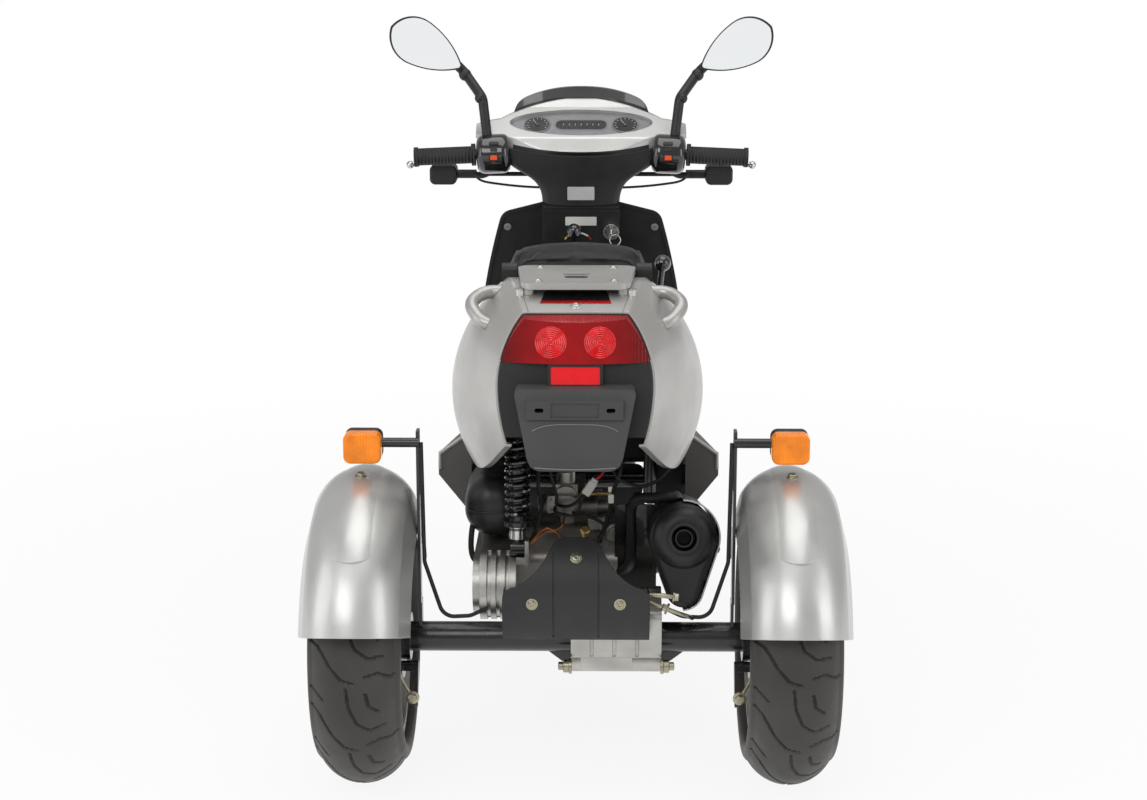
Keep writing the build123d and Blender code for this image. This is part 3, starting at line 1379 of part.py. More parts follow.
# Columns: y, half width at the base, half width at the top edge, top edge z, crown z
SEAT_STATIONS = [
    (SEAT_REAR_Y + 2, 110, 92, PILLION_TOP - 20, PILLION_TOP - 12),
    (SEAT_REAR_Y + 60, 122, 106, PILLION_TOP - 10, PILLION_TOP),
    (SEAT_REAR_Y + 150, 132, 112, PILLION_TOP - 18, PILLION_TOP - 8),
    (SEAT_REAR_Y + 216, 134, 112, RIDER_TOP - 2, RIDER_TOP + 8),
    (SEAT_FRONT_Y - 100, 122, 98, RIDER_TOP - 10, RIDER_TOP),
    (SEAT_FRONT_Y - 4, 84, 66, RIDER_TOP - 44, RIDER_TOP - 34),
]


def seat_section(y, base, edge, edge_z, crown):
    foot = seat_line(y) + SEAT_BASE_LIFT + SEAT_BASE_T
    face = make_face([
        Line((-base, foot), (base, foot)),
        Line((base, foot), (edge, edge_z)),
        ThreePointArc((edge, edge_z), (0, crown), (-edge, edge_z)),
        Line((-edge, edge_z), (-base, foot)),
    ])
    return xz(y) * fillet(face.vertices().group_by(Axis.Y)[-1], SEAT_EDGE_ROUND)


def seat_plan(inset):
    right = [(base - inset, y) for y, base, *_ in SEAT_STATIONS]
    left = [(-x, y) for x, y in reversed(right)]
    return rounded(SEAT_EDGE_ROUND, *right, *left)


def seat_base():
    low = SEAT_BASE_LIFT
    plan = upward(seat_plan(PANEL_T), 0, 2 * PILLION_TOP)
    base = seat_slab(low, low + SEAT_BASE_T, SEAT_REAR_Y, SEAT_FRONT_Y) & plan
    root_y = hinge_y - HINGE_HALF
    tongue = polygon(
        (root_y, seat_line(root_y) + low),
        (hinge_y, hinge_z),
        (hinge_y, hinge_z + HINGE_BARREL_R),
        (root_y, seat_line(root_y) + low + SEAT_BASE_T),
    )
    half = HINGE_HALF - FIT_GAP
    hinge = (hinge_y, hinge_z)
    base += across(tongue, -half, half) + rod((-half, *hinge), (half, *hinge), HINGE_BARREL_R)
    return base - rod((-HINGE_HALF, *hinge), (HINGE_HALF, *hinge), HINGE_R + FIT_GAP)


def seat_cushion():
    return loft([seat_section(*station) for station in SEAT_STATIONS], ruled=True)


# Floor, skirts, leg shield and front apron
def floor_board():
    face = rounded(
        FLOOR_ROUND,
        (-FLOOR_HALF, BOX_COVER_Y),
        (FLOOR_HALF, BOX_COVER_Y),
        (FLOOR_HALF, FLOOR_FRONT - 2 * FLOOR_ROUND),
        (FLOOR_HALF - FLOOR_ROUND, FLOOR_FRONT),
        (-FLOOR_HALF + FLOOR_ROUND, FLOOR_FRONT),
        (-FLOOR_HALF, FLOOR_FRONT - 2 * FLOOR_ROUND),
    )
    floor = upward(face, FLOOR_Z, floor_top)
    reach = FLOOR_HALF - FLOOR_ROUND
    for i in range(RIB_COUNT):
        x = -reach + 2 * reach * i / (RIB_COUNT - 1)
        floor += block(
            x - RIB_W / 2, x + RIB_W / 2, BOX_COVER_Y + 2 * FLOOR_ROUND, SHIELD_LOW_Y - 4 * FLOOR_ROUND,
            FLOOR_Z, floor_top + RIB_H,
        )
    slot = SPINE_R + MOVE_GAP
    return floor - block(-slot, slot, SHIELD_LOW_Y - 3 * SPINE_R, FLOOR_FRONT, 0, 2 * FLOOR_Z)


def splash_guard():
    """Flat guard between the engine bay and the floor, hung from the frame's cross tube."""
    face = rounded(
        BOX_COVER_ROUND,
        (-GUARD_HALF, FLOOR_Z - FIT_GAP),
        (GUARD_HALF, FLOOR_Z - FIT_GAP),
        (GUARD_HALF - BOX_COVER_ROUND, GUARD_BOTTOM),
        (-GUARD_HALF + BOX_COVER_ROUND, GUARD_BOTTOM),
    )
    rear = CROSS_Y + CROSS_R + FIT_GAP
    return along(face, rear, rear + PANEL_T) - frame_spine()


def seat_box_cover():
    top = hinge_z - HINGE_BARREL_R - 2 * MOVE_GAP
    face = rounded(
        BOX_COVER_ROUND,
        (-BOX_COVER_LOW_HALF, floor_top),
        (BOX_COVER_LOW_HALF, floor_top),
        (BOX_COVER_TOP_HALF, top),
        (-BOX_COVER_TOP_HALF, top),
    )
    return along(face, BOX_COVER_Y - BOX_COVER_T / 2, BOX_COVER_Y + BOX_COVER_T / 2)


# Columns: y, outer x, top inner z, outer high z, outer low z, keel x, keel z
SKIRT_STATIONS = [
    (SKIRT_REAR, SKIRT_OUT, 512, 470, 429, 207, 366),
    (SKIRT_MID, SKIRT_OUT - 30, 470, 450, 420, 208, 372),
    (SKIRT_FRONT, FLOOR_HALF + 24, 446, 438, 414, FLOOR_HALF + 12, 386),
]


def skirt_loft(inset):
    """Solid inside the skirt's skin; the inner side lies against the floor's edge."""
    inner = FLOOR_HALF + FIT_GAP
    sections = []
    for y, out, top, high, low, keel_x, keel_z in SKIRT_STATIONS:
        face = polygon(
            (inner, top - inset),
            (out - inset, high - inset),
            (out - inset, low + inset),
            (keel_x - inset, keel_z + inset),
            (inner, keel_z + inset),
        )
        sections.append(xz(y) * face)
    return loft(sections, ruled=True)


def lower_skirts():
    """Side covers that taper in towards the leg shield, open to the floor and closed at both ends."""
    outer = skirt_loft(0)
    hollow = skirt_loft(PANEL_T) & block(
        0, SKIRT_OUT, SKIRT_REAR + PANEL_T, SKIRT_FRONT - PANEL_T, 0, 2 * FLOOR_Z
    )
    return pair(outer - hollow)


def shield_y(z):
    """Front face of the inner leg shield at a height."""
    return SHIELD_LOW_Y + (SHIELD_TOP_Y - SHIELD_LOW_Y) * (z - FLOOR_Z) / (SHIELD_TOP_Z - FLOOR_Z)


def column_y(z):
    """Rear face of the steering column's hump in the leg shield at a height."""
    share = (z - floor_top) / (SHIELD_TOP_Z - floor_top)
    depth = COLUMN_FOOT_DEPTH + (COLUMN_DEPTH - COLUMN_FOOT_DEPTH) * share
    return shield_y(z) - depth


def leg_outline(inset):
    """Outline of the leg shield seen from behind, with bowed sides."""
    foot = (FLOOR_HALF, floor_top)
    waist = (LEG_WAIST_HALF, LEG_WAIST_Z)
    shoulder = (LEG_SHOULDER_HALF, LEG_SHOULDER_Z)
    lower = (LEG_FOOT_HALF, LEG_FOOT_Z)
    half = make_face([
        Line((0, floor_top), foot),
        Line(foot, lower),
        ThreePointArc(lower, waist, shoulder),
        Line(shoulder, (LEG_TOP_HALF, SHIELD_TOP_Z)),
        Line((LEG_TOP_HALF, SHIELD_TOP_Z), (0, SHIELD_TOP_Z)),
        Line((0, SHIELD_TOP_Z), (0, floor_top)),
    ])
    corners = half.vertices().filter_by(lambda v: v.X > LEG_TOP_HALF + 1 and v.Y > floor_top + 1)
    face = pair(fillet(corners, LEG_ROUND))
    return offset(face, -inset) if inset else face


def shield_slab(back, front):
    """Slab along the leaning plane of the leg shield, between two distances in front of it."""
    low, high = FLOOR_Z, SHIELD_TOP_Z + COLUMN_DEPTH
    face = polygon(
        (shield_y(low) + back, low),
        (shield_y(low) + front, low),
        (shield_y(high) + front, high),
        (shield_y(high) + back, high),
    )
    return across(face, -LEG_FOOT_HALF, LEG_FOOT_HALF)


def neck_space():
    """Space above the square cut below the handlebar's lower cover, for the cover to turn in."""
    return extrude(steer(NECK_S - MOVE_GAP) * Circle(2 * LEG_FOOT_HALF), amount=HEAD_HIGH_S)


def upright(face):
    """Extrude an outline drawn in X and Z through the whole leg shield."""
    return along(face, SHIELD_TOP_Y - 2 * COLUMN_FOOT_DEPTH, SHIELD_LOW_Y + 2 * COLUMN_FOOT_DEPTH)


def inner_leg_shield():
    """Leaning panel with a turned rim and the hollow hump that covers the steering column."""
    view = upright(leg_outline(0))
    panel = shield_slab(-PANEL_T, 0) & view
    panel += shield_slab(-LEG_RIM, 0) & (view - upright(leg_outline(LEG_RIM)))
    high = SHIELD_TOP_Z + COLUMN_DEPTH
    for inset in (0, PANEL_T):
        hump = polygon(
            (shield_y(floor_top), floor_top),
            (shield_y(high), high),
            (column_y(high) + inset, high),
            (column_y(floor_top) + inset, floor_top),
        )
        column = across(hump, -COLUMN_HALF + inset, COLUMN_HALF - inset) & view
        panel = panel - column if inset else panel + column
    return panel - neck_space() - extrude(steer(HEAD_LOW_S) * Circle(HEAD_R + FIT_GAP), amount=HEAD_HIGH_S)


def apron_section(z, grow):
    """Plan outline of the apron at a height: shield edge to edge, bulging forward round the head tube."""
    t = (z - APRON_BOTTOM) / (LEG_SHOULDER_Z - APRON_BOTTOM)
    half = APRON_LOW_HALF + (APRON_TOP_HALF - APRON_LOW_HALF) * t + grow
    back = shield_y(z) + FIT_GAP
    axis_y = axis_foot.Y - math.tan(rake) * (z - axis_foot.Z)
    nose = axis_y + APRON_NOSE + grow
    bow = ThreePointArc((-half, back), (0, nose), (half, back))
    return xy(z) * make_face([bow, Line((half, back), (-half, back))])


def front_apron():
    """Bowed front panel round the head tube, with flat wings beside the wheel down to the floor."""
    outer = loft([apron_section(z, 0) for z in (APRON_BOTTOM, LEG_SHOULDER_Z)])
    inner = loft([apron_section(z, -PANEL_T) for z in (APRON_BOTTOM, LEG_SHOULDER_Z)])
    wings = shield_slab(FIT_GAP, FIT_GAP + WING_T) & upright(leg_outline(LEG_RIM / 2))
    wings &= block(-LEG_FOOT_HALF, LEG_FOOT_HALF, 0, WHEELBASE, FLOOR_Z, APRON_BOTTOM + WING_T)
    arch_top = APRON_BOTTOM - WING_T
    arch = rounded(
        ARCH_ROUND, (-ARCH_HALF, 0), (ARCH_HALF, 0), (ARCH_HALF, arch_top), (-ARCH_HALF, arch_top)
    )
    wings -= upright(arch)
    return (outer - inner) + (wings - inner) - neck_space()


# Fork, front fender and front brake
def fork():
    """Two telescopic legs, the clamp that joins them, the steering column and the wheel axle."""
    legs = []
    for side in (-1, 1):
        place = Pos(side * FORK_HALF, FORK_OFFSET, 0)
        slider = steer(-SLIDER_FOOT) * (place * Circle(SLIDER_R))
        stanchion = steer(SLIDER_L) * (place * Circle(STANCHION_R))
        legs.append(extrude(slider, amount=SLIDER_FOOT + SLIDER_L))
        legs.append(extrude(stanchion, amount=CLAMP_S + CLAMP_T - SLIDER_L))
    x = FORK_HALF + CLAMP_WALL
    y0, y1 = FORK_OFFSET - CLAMP_WALL, FORK_OFFSET + CLAMP_WALL
    clamp = rounded(STANCHION_R, (-x, y0), (x, y0), (x, y1), (-x, y1))
    unit = extrude(steer(CLAMP_S) * (clamp + Circle(FORK_OFFSET)), amount=CLAMP_T)
    unit += legs
    unit += extrude(steer(CLAMP_S) * Circle(COLUMN_R), amount=COLUMN_TOP_S - CLAMP_S)
    axle = (front_axle.Y, front_axle.Z)
    hub_left, hub_right = -DISC_X - DISC_T - FIT_GAP, FRONT_HUB_HALF + FIT_GAP
    inner = FORK_HALF - SLIDER_R + DISC_T
    outer = FORK_HALF + SLIDER_R + AXLE_R
    unit += rod((-FORK_HALF, *axle), (FORK_HALF, *axle), AXLE_R)
    unit += rod((-inner, *axle), (hub_left, *axle), AXLE_R + DISC_T)
    unit += rod((hub_right, *axle), (inner, *axle), AXLE_R + DISC_T)
    for side in (-1, 1):
        unit += rod((side * FORK_HALF, *axle), (side * outer, *axle), AXLE_R + DISC_T)
    return unit


def front_fender():
    arch = fender_section(
        FRONT_FENDER_R, FRONT_FENDER_HALF, FRONT_FENDER_SHOULDER, FRONT_FENDER_DROP,
        FRONT_FENDER_SKIRT, FENDER_T,
    )
    fender = Pos(0, front_axle.Y, front_axle.Z) * swept_about_axle(arch, FRONT_FENDER_REAR, FRONT_FENDER_NOSE)
    foot = on_axis(FRONT_FENDER_R - FRONT_FENDER_DROP - FENDER_LUG_R) + axis_forward * FORK_OFFSET
    start = FRONT_FENDER_HALF - 2 * FENDER_T
    end = FORK_HALF - SLIDER_R - FIT_GAP
    return fender + pair(rod((start, foot.Y, foot.Z), (end, foot.Y, foot.Z), FENDER_LUG_R))


def front_caliper():
    """Two-sided caliper on a bracket from the left slider, with a slot for the disc."""
    place = Plane(origin=front_axle, x_dir=(1, 0, 0), z_dir=axis_up)
    mid = -DISC_X - DISC_T / 2
    low, high = CALIPER_LIFT, CALIPER_LIFT + CALIPER_H
    rear = -DISC_R - CALIPER_IN
    body = block(mid - CALIPER_OUT, mid + CALIPER_IN, rear, -DISC_R + CALIPER_H / 2, low, high)
    body -= block(mid - DISC_T, mid + DISC_T, -DISC_R - DISC_T, 0, 0, high + low)
    ear_z = (low + high) / 2
    body += block(
        -FORK_HALF, mid - CALIPER_IN, -DISC_R, -SLIDER_R + DISC_T, ear_z - CALIPER_IN, ear_z + CALIPER_IN
    )
    slider = steer(-SLIDER_FOOT) * (Pos(-FORK_HALF, FORK_OFFSET) * Circle(SLIDER_R))
    return (place * body) - extrude(slider, amount=SLIDER_FOOT + SLIDER_L)


# Handlebar, its covers and what they carry
def bar_plane(side):
    """Plane at the middle of the bar whose normal runs out along one drooping grip."""
    droop = math.radians(BAR_DROOP)
    outward = (side * math.cos(droop), 0, -math.sin(droop))
    return Plane(origin=(0, BAR_Y, BAR_Z), x_dir=(0, 1, 0), z_dir=outward)


def bar_rod(side, start, end, radius):
    plane = bar_plane(side)
    base = Plane(origin=plane.origin + plane.z_dir * start, x_dir=plane.x_dir, z_dir=plane.z_dir)
    return extrude(base * Circle(radius), amount=end - start)


def handlebar_tube():
    return [bar_rod(side, SWITCH_IN - BAR_TUCK, GRIP_OUT - GRIP_END, BAR_R) for side in (-1, 1)]


def bar_bore(start, end):
    return [bar_rod(side, start, end, BAR_R + BAR_GAP) for side in (-1, 1)]


# Columns: z, half width, rear y, front y
NECK_STATIONS = [
    (830, COLUMN_HALF, COWL_REAR_Y + 16, COWL_NOSE_Y - 84),
    (884, COLUMN_HALF + 4, COWL_REAR_Y + 10, COWL_NOSE_Y - 62),
    (912, COLUMN_HALF + 26, COWL_REAR_Y + 5, COWL_NOSE_Y - 40),
    (938, COWL_HALF - 22, COWL_REAR_Y, COWL_NOSE_Y - 20),
    (960, COWL_HALF - 6, COWL_REAR_Y - 3, COWL_NOSE_Y - 8),
    (BAND_TOP_Z, COWL_HALF, COWL_REAR_Y - 2, COWL_NOSE_Y - 4),
]


def neck_section(z, half, rear, front):
    """Plan outline of the lower cover: bowed at the back and front, round at the corners."""
    face = make_face([
        ThreePointArc((-half, rear + NECK_BOW), (0, rear), (half, rear + NECK_BOW)),
        Line((half, rear + NECK_BOW), (half, front - NECK_BOW)),
        ThreePointArc((half, front - NECK_BOW), (0, front), (-half, front - NECK_BOW)),
        Line((-half, front - NECK_BOW), (-half, rear + NECK_BOW)),
    ])
    return xy(z) * fillet(face.vertices(), NECK_ROUND)


def above_band(shift):
    """Space above the curved lower edge of the cowl's band."""
    end_z = BAND_LOW_Z + BAND_RISE + shift
    high = SCREEN_TOP_Z
    face = make_face([
        ThreePointArc((-COWL_WING, end_z), (0, BAND_LOW_Z + shift), (COWL_WING, end_z)),
        Line((COWL_WING, end_z), (COWL_WING, high)),
        Line((COWL_WING, high), (-COWL_WING, high)),
        Line((-COWL_WING, high), (-COWL_WING, end_z)),
    ])
    return along(face, COWL_REAR_Y - COWL_WING, COWL_NOSE_Y + COWL_WING)


def handlebar_cover_lower():
    """Black cover that flares from the neck up to the band, cut square to the steering axis below."""
    cover = loft([neck_section(*station) for station in NECK_STATIONS]) - above_band(0)
    cover -= extrude(steer(NECK_S) * Circle(2 * COWL_WING), amount=-HEAD_HIGH_S)
    cover -= extrude(steer(HEAD_LOW_S) * Circle(COLUMN_R), amount=COLUMN_TOP_S - HEAD_LOW_S)
    return cover - bar_bore(SWITCH_IN - BAR_TUCK, SWITCH_OUT)


def cowl_view():
    """Outline of the cowl seen from behind: drooping wings, and a crest over the instruments."""
    low = BAND_LOW_Z
    tip_low, tip_high = WING_Z - WING_TIP / 2, WING_Z + WING_TIP / 2
    shoulder = (COWL_HALF, WING_Z + 0.85 * WING_TIP)
    brow = (0.56 * COWL_HALF, COWL_TOP_Z - 0.54 * WING_TIP)
    half = make_face([
        Line((0, COWL_TOP_Z), (0, low)),
        Line((0, low), (COWL_HALF, low)),
        ThreePointArc((COWL_HALF, low), (COWL_HALF + WING_TIP, WING_Z - WING_TIP), (COWL_WING, tip_low)),
        Line((COWL_WING, tip_low), (COWL_WING, tip_high)),
        ThreePointArc((COWL_WING, tip_high), (COWL_HALF + WING_TIP, WING_Z + 0.72 * WING_TIP), shoulder),
        ThreePointArc(shoulder, brow, (0, COWL_TOP_Z)),
    ])
    return pair(half)


def cowl_plan():
    """Outline of the cowl from above: bowed at the back, long and round at the nose."""
    back = COWL_REAR_Y + COWL_SWEEP
    wing_front = BAR_Y + 2 * COWL_SWEEP
    cheek = (0.7 * COWL_HALF, COWL_NOSE_Y - 2 * COWL_SWEEP)
    half = make_face([
        Line((0, COWL_NOSE_Y), (0, COWL_REAR_Y)),
        ThreePointArc((0, COWL_REAR_Y), (COWL_HALF / 2, COWL_REAR_Y + COWL_SWEEP / 4), (COWL_HALF, back)),
        Line((COWL_HALF, back), (COWL_WING, back)),
        Line((COWL_WING, back), (COWL_WING, wing_front)),
        Line((COWL_WING, wing_front), (COWL_HALF, wing_front + COWL_SWEEP)),
        ThreePointArc((COWL_HALF, wing_front + COWL_SWEEP), cheek, (0, COWL_NOSE_Y)),
    ])
    return pair(half)


def cluster_pocket(depth):
    """Lens-shaped outline on the slanted instrument face, sunk into the cowl by depth."""
    rear = (COWL_REAR_Y + 2 * COWL_ROUND, BAND_TOP_Z)
    run = CLUSTER_TOP_Y - rear[0]
    rise = CLUSTER_TOP_Z - rear[1]
    length = math.hypot(run, rise)
    normal = Vector(0, -rise / length, run / length)
    origin = Vector(0, rear[0] + run / 2, rear[1] + rise / 2) - normal * depth
    return Plane(origin=origin, x_dir=(1, 0, 0), z_dir=normal) * Ellipse(CLUSTER_HALF, length * 0.42)


def cowl_skin():
    """The cowl's side profile crossed with its outline from above."""
    profile = rounded(
        COWL_ROUND,
        (COWL_REAR_Y, BAND_LOW_Z),
        (COWL_REAR_Y + 2 * COWL_ROUND, BAND_TOP_Z),
        (CLUSTER_TOP_Y, CLUSTER_TOP_Z),
        (CLUSTER_TOP_Y + 3 * COWL_ROUND, COWL_TOP_Z),
        (COWL_NOSE_Y - 2 * COWL_ROUND, WING_Z + WING_TIP),
        (COWL_NOSE_Y, BAND_LOW_Z),
    )
    return across(profile, -COWL_WING, COWL_WING) & upward(cowl_plan(), BAND_LOW_Z, SCREEN_TOP_Z)


def handlebar_cowl():
    """Silver upper cowl: three outlines crossed, with a pocket for the instruments and a lamp mouth."""
    cowl = along(cowl_view(), COWL_REAR_Y, COWL_NOSE_Y) & cowl_skin()
    cowl &= above_band(FIT_GAP)
    cowl -= extrude(cluster_pocket(CLUSTER_DEPTH), amount=5 * CLUSTER_DEPTH)
    cowl -= along(headlamp_outline(FIT_GAP), COWL_NOSE_Y - HEADLAMP_DEPTH - FIT_GAP, COWL_NOSE_Y)
    return cowl - bar_bore(SWITCH_IN - BAR_TUCK, SWITCH_OUT)


def instrument_panel():
    return extrude(cluster_pocket(CLUSTER_DEPTH - FIT_GAP), amount=CLUSTER_DEPTH / 2)


def headlamp_outline(grow):
    low, high = BAND_LOW_Z + HEADLAMP_SILL - grow, WING_Z + WING_TIP + grow
    base, top = HEADLAMP_HALF + grow, 0.76 * HEADLAMP_HALF + grow
    return rounded(HEADLAMP_ROUND, (-base, low), (base, low), (top, high), (-top, high))


def headlamp():
    """Clear lens in the cowl's mouth, trimmed to the cowl's nose."""
    lens = along(headlamp_outline(0), COWL_NOSE_Y - HEADLAMP_DEPTH, COWL_NOSE_Y)
    return lens & cowl_skin()


def flyscreen():
    """Smoked crescent that stands up along the cowl's crest."""
    centre_y = CLUSTER_TOP_Y - SCREEN_SET
    ring = Pos(0, centre_y) * (Circle(SCREEN_BOW_R) - Circle(SCREEN_BOW_R - SCREEN_T))
    sheet = upward(ring, WING_Z, SCREEN_TOP_Z)
    sheet &= block(-SCREEN_HALF, SCREEN_HALF, centre_y, COWL_NOSE_Y, WING_Z, SCREEN_TOP_Z)
    crescent = make_face([
        ThreePointArc((-SCREEN_HALF, SCREEN_END_Z), (0, SCREEN_TOP_Z), (SCREEN_HALF, SCREEN_END_Z)),
        Line((SCREEN_HALF, SCREEN_END_Z), (SCREEN_HALF, WING_Z)),
        Line((SCREEN_HALF, WING_Z), (-SCREEN_HALF, WING_Z)),
        Line((-SCREEN_HALF, WING_Z), (-SCREEN_HALF, SCREEN_END_Z)),
    ])
    standing = (sheet & along(crescent, COWL_REAR_Y, COWL_NOSE_Y)) - handlebar_cowl()
    return standing.solids().sort_by(Axis.Z)[-1]


def grips():
    shapes = []
    for side in (-1, 1):
        grip = bar_rod(side, GRIP_IN, GRIP_OUT, GRIP_R)
        grip += bar_rod(side, GRIP_IN, GRIP_IN + 2 * GRIP_END, GRIP_R + GRIP_FLANGE)
        grip += bar_rod(side, GRIP_OUT - 2 * GRIP_END, GRIP_OUT, GRIP_R + GRIP_FLANGE / 2)
        shapes.append(grip - bar_rod(side, GRIP_IN, GRIP_OUT - GRIP_END, BAR_R + BAR_GAP))
    return shapes


def switch_housings():
    """Rounded housings inboard of the grips, each with a lever perch in front."""
    shapes = []
    for side in (-1, 1):
        barrel = fillet(bar_rod(side, SWITCH_IN, SWITCH_OUT, SWITCH_R).edges(), SWITCH_ROUND)
        x0, x1 = sorted((side * (SWITCH_IN + SWITCH_ROUND), side * SWITCH_OUT))
        barrel += block(x0, x1, BAR_Y + SWITCH_R / 2, PERCH_Y, PERCH_Z - PERCH_H / 2, PERCH_Z + PERCH_H / 2)
        barrel -= handlebar_cowl()
        barrel -= handlebar_cover_lower()
        barrel -= bar_rod(side, SWITCH_IN, SWITCH_OUT, BAR_R + BAR_GAP)
        shapes.append(barrel.solids().sort_by(SortBy.VOLUME)[-1])
    return shapes


def brake_levers():
    """Ball-ended levers in front of the grips."""
    start_y = PERCH_Y - PERCH_H * 0.7
    tip = (LEVER_END_X, start_y + LEVER_R, BAR_Z - 2 * GRIP_R)
    lever = tube(
        LEVER_R, 3 * LEVER_R,
        (SWITCH_OUT + FIT_GAP, start_y, PERCH_Z),
        (SWITCH_OUT + 2 * GRIP_R, start_y + PERCH_H, PERCH_Z - LEVER_R),
        tip,
    )
    lever += Pos(*tip) * Sphere(LEVER_BALL_R)
    return pair(lever - switch_housings()[1])


def mirror_face(share):
    """Drop-shaped outline, round outside and pointed towards the stem, scaled by share."""
    a, b = MIRROR_MAJOR * share, MIRROR_MINOR * share
    crown = (-0.22 * a, b)
    upper = [
        ((-a, 0), (-0.77 * a, 0.7 * b), crown),
        (crown, (0.48 * a, 0.66 * b), (0.97 * a, 0.1 * b)),
    ]
    lower = [tuple((x, -z) for x, z in arc) for arc in upper]
    edges = [ThreePointArc(*arc) for arc in upper + lower]
    edges.append(ThreePointArc((0.97 * a, 0.1 * b), (a, 0), (0.97 * a, -0.1 * b)))
    return Pos(MIRROR_X, MIRROR_Z) * Rot(0, 0, 180 + MIRROR_TILT) * make_face(edges)


def mirror_housings():
    """Shallow drop-shaped backs on bent stems, lofted from the rim to a smaller front face."""
    shell = loft([
        xz(MIRROR_Y) * mirror_face(1),
        xz(MIRROR_Y + MIRROR_DEPTH * 0.55) * mirror_face(0.86),
        xz(MIRROR_Y + MIRROR_DEPTH) * mirror_face(0.6),
    ])
    shell -= along(mirror_face(MIRROR_GLASS_SHARE), MIRROR_Y, MIRROR_Y + MIRROR_GLASS_T)
    tip_x = MIRROR_X - 0.8 * MIRROR_MAJOR * math.cos(math.radians(MIRROR_TILT))
    tip_z = MIRROR_Z - 0.8 * MIRROR_MAJOR * math.sin(math.radians(MIRROR_TILT))
    stem_y = MIRROR_Y + MIRROR_DEPTH * 0.45
    stem = tube(
        STEM_R, STEM_BEND,
        (STEM_X, BAR_Y, BAR_Z + SWITCH_R / 2),
        (STEM_X + STEM_R, BAR_Y + STEM_R, STEM_KNEE_Z),
        (tip_x - 2 * STEM_R, stem_y, tip_z - 2 * STEM_R),
        (tip_x, stem_y, tip_z),
    )
    stem -= switch_housings()[1]
    stem -= handlebar_cowl()
    stem = stem.solids().sort_by(Axis.Z)[-1]
    stem -= along(mirror_face(1), MIRROR_Y - STEM_R, MIRROR_Y + MIRROR_GLASS_T + FIT_GAP)
    return pair(shell + stem.solids().sort_by(SortBy.VOLUME)[-1])


def mirror_glass():
    share = MIRROR_GLASS_SHARE - FIT_GAP / MIRROR_MINOR
    return pair(along(mirror_face(share), MIRROR_Y + FIT_GAP / 2, MIRROR_Y + MIRROR_GLASS_T - FIT_GAP / 2))


def front_indicators():
    """Lamp heads on short stalks that run in to the lower cover."""
    middle = (FRONT_LAMP_Y, FRONT_LAMP_Z)
    head = Pos(FRONT_LAMP_X, *middle) * lamp_block(FRONT_LAMP_W, FRONT_LAMP_H, FRONT_LAMP_D)
    inner = FRONT_LAMP_X - FRONT_LAMP_W / 2
    collar = inner - STALK_COLLAR
    head += rod((collar, *middle), (inner + STALK_R, *middle), 2 * STALK_R)
    head += rod((COLUMN_HALF, *middle), (collar + STALK_R, *middle), STALK_R)
    trimmed = head - handlebar_cover_lower()
    return pair(trimmed.solids().sort_by(Axis.X)[-1])


# Controls on the leg shield and body, and the cables of the rear axle
def control_levers():
    """Gear lever on the leg shield column and the parking-brake lever beside the seat."""
    root_y = column_y(GEAR_Z)
    tip = (GEAR_X, root_y - GEAR_REACH, GEAR_Z + GEAR_RISE)
    gear = rod((GEAR_X, root_y + PANEL_T / 2, GEAR_Z), tip, LEVER_R) + Pos(*tip) * Sphere(KNOB_R)
    knob = (PARK_X, PARK_Y, PARK_Z)
    park = rod((PARK_ROOT_X, PARK_Y, PARK_ROOT_Z), knob, LEVER_R) + Pos(*knob) * Sphere(KNOB_R)
    gear = (gear - inner_leg_shield()).solids().sort_by(Axis.Y)[0]
    return gear + (park - body_outer).solids().sort_by(Axis.Z)[-1]


def ignition_lock():
    face_y = column_y(LOCK_Z)
    lock = along(Pos(LOCK_X, LOCK_Z) * Circle(LOCK_R), face_y - LOCK_R, face_y + PANEL_T / 2)
    return (lock - inner_leg_shield()).solids().sort_by(Axis.Y)[0]


def cables():
    """Brake cable and lamp lead down each stay and in along the beam."""
    x = stay_x - CABLE_R - FIT_GAP
    run_z = BEAM_Z + BEAM_R + 6 * CABLE_R
    lead = tube(
        CABLE_R, 7 * CABLE_R,
        (x, LAMP_Y, STAY_TOP - STAY_ARM_DROP),
        (x - CABLE_R, LAMP_Y - 2 * CABLE_R, run_z + 4 * STAY_W),
        (x - 10 * CABLE_R, LAMP_Y - 2 * CABLE_R, run_z),
        (CASE_RIGHT + 10 * CABLE_R, LAMP_Y - 3 * CABLE_R, run_z + CABLE_R),
        (CASE_RIGHT + 2 * CABLE_R, LAMP_Y, run_z + 4 * CABLE_R),
    )
    return pair(lead)


def at(piece, x, y, z):
    return Pos(x, y, z) * piece


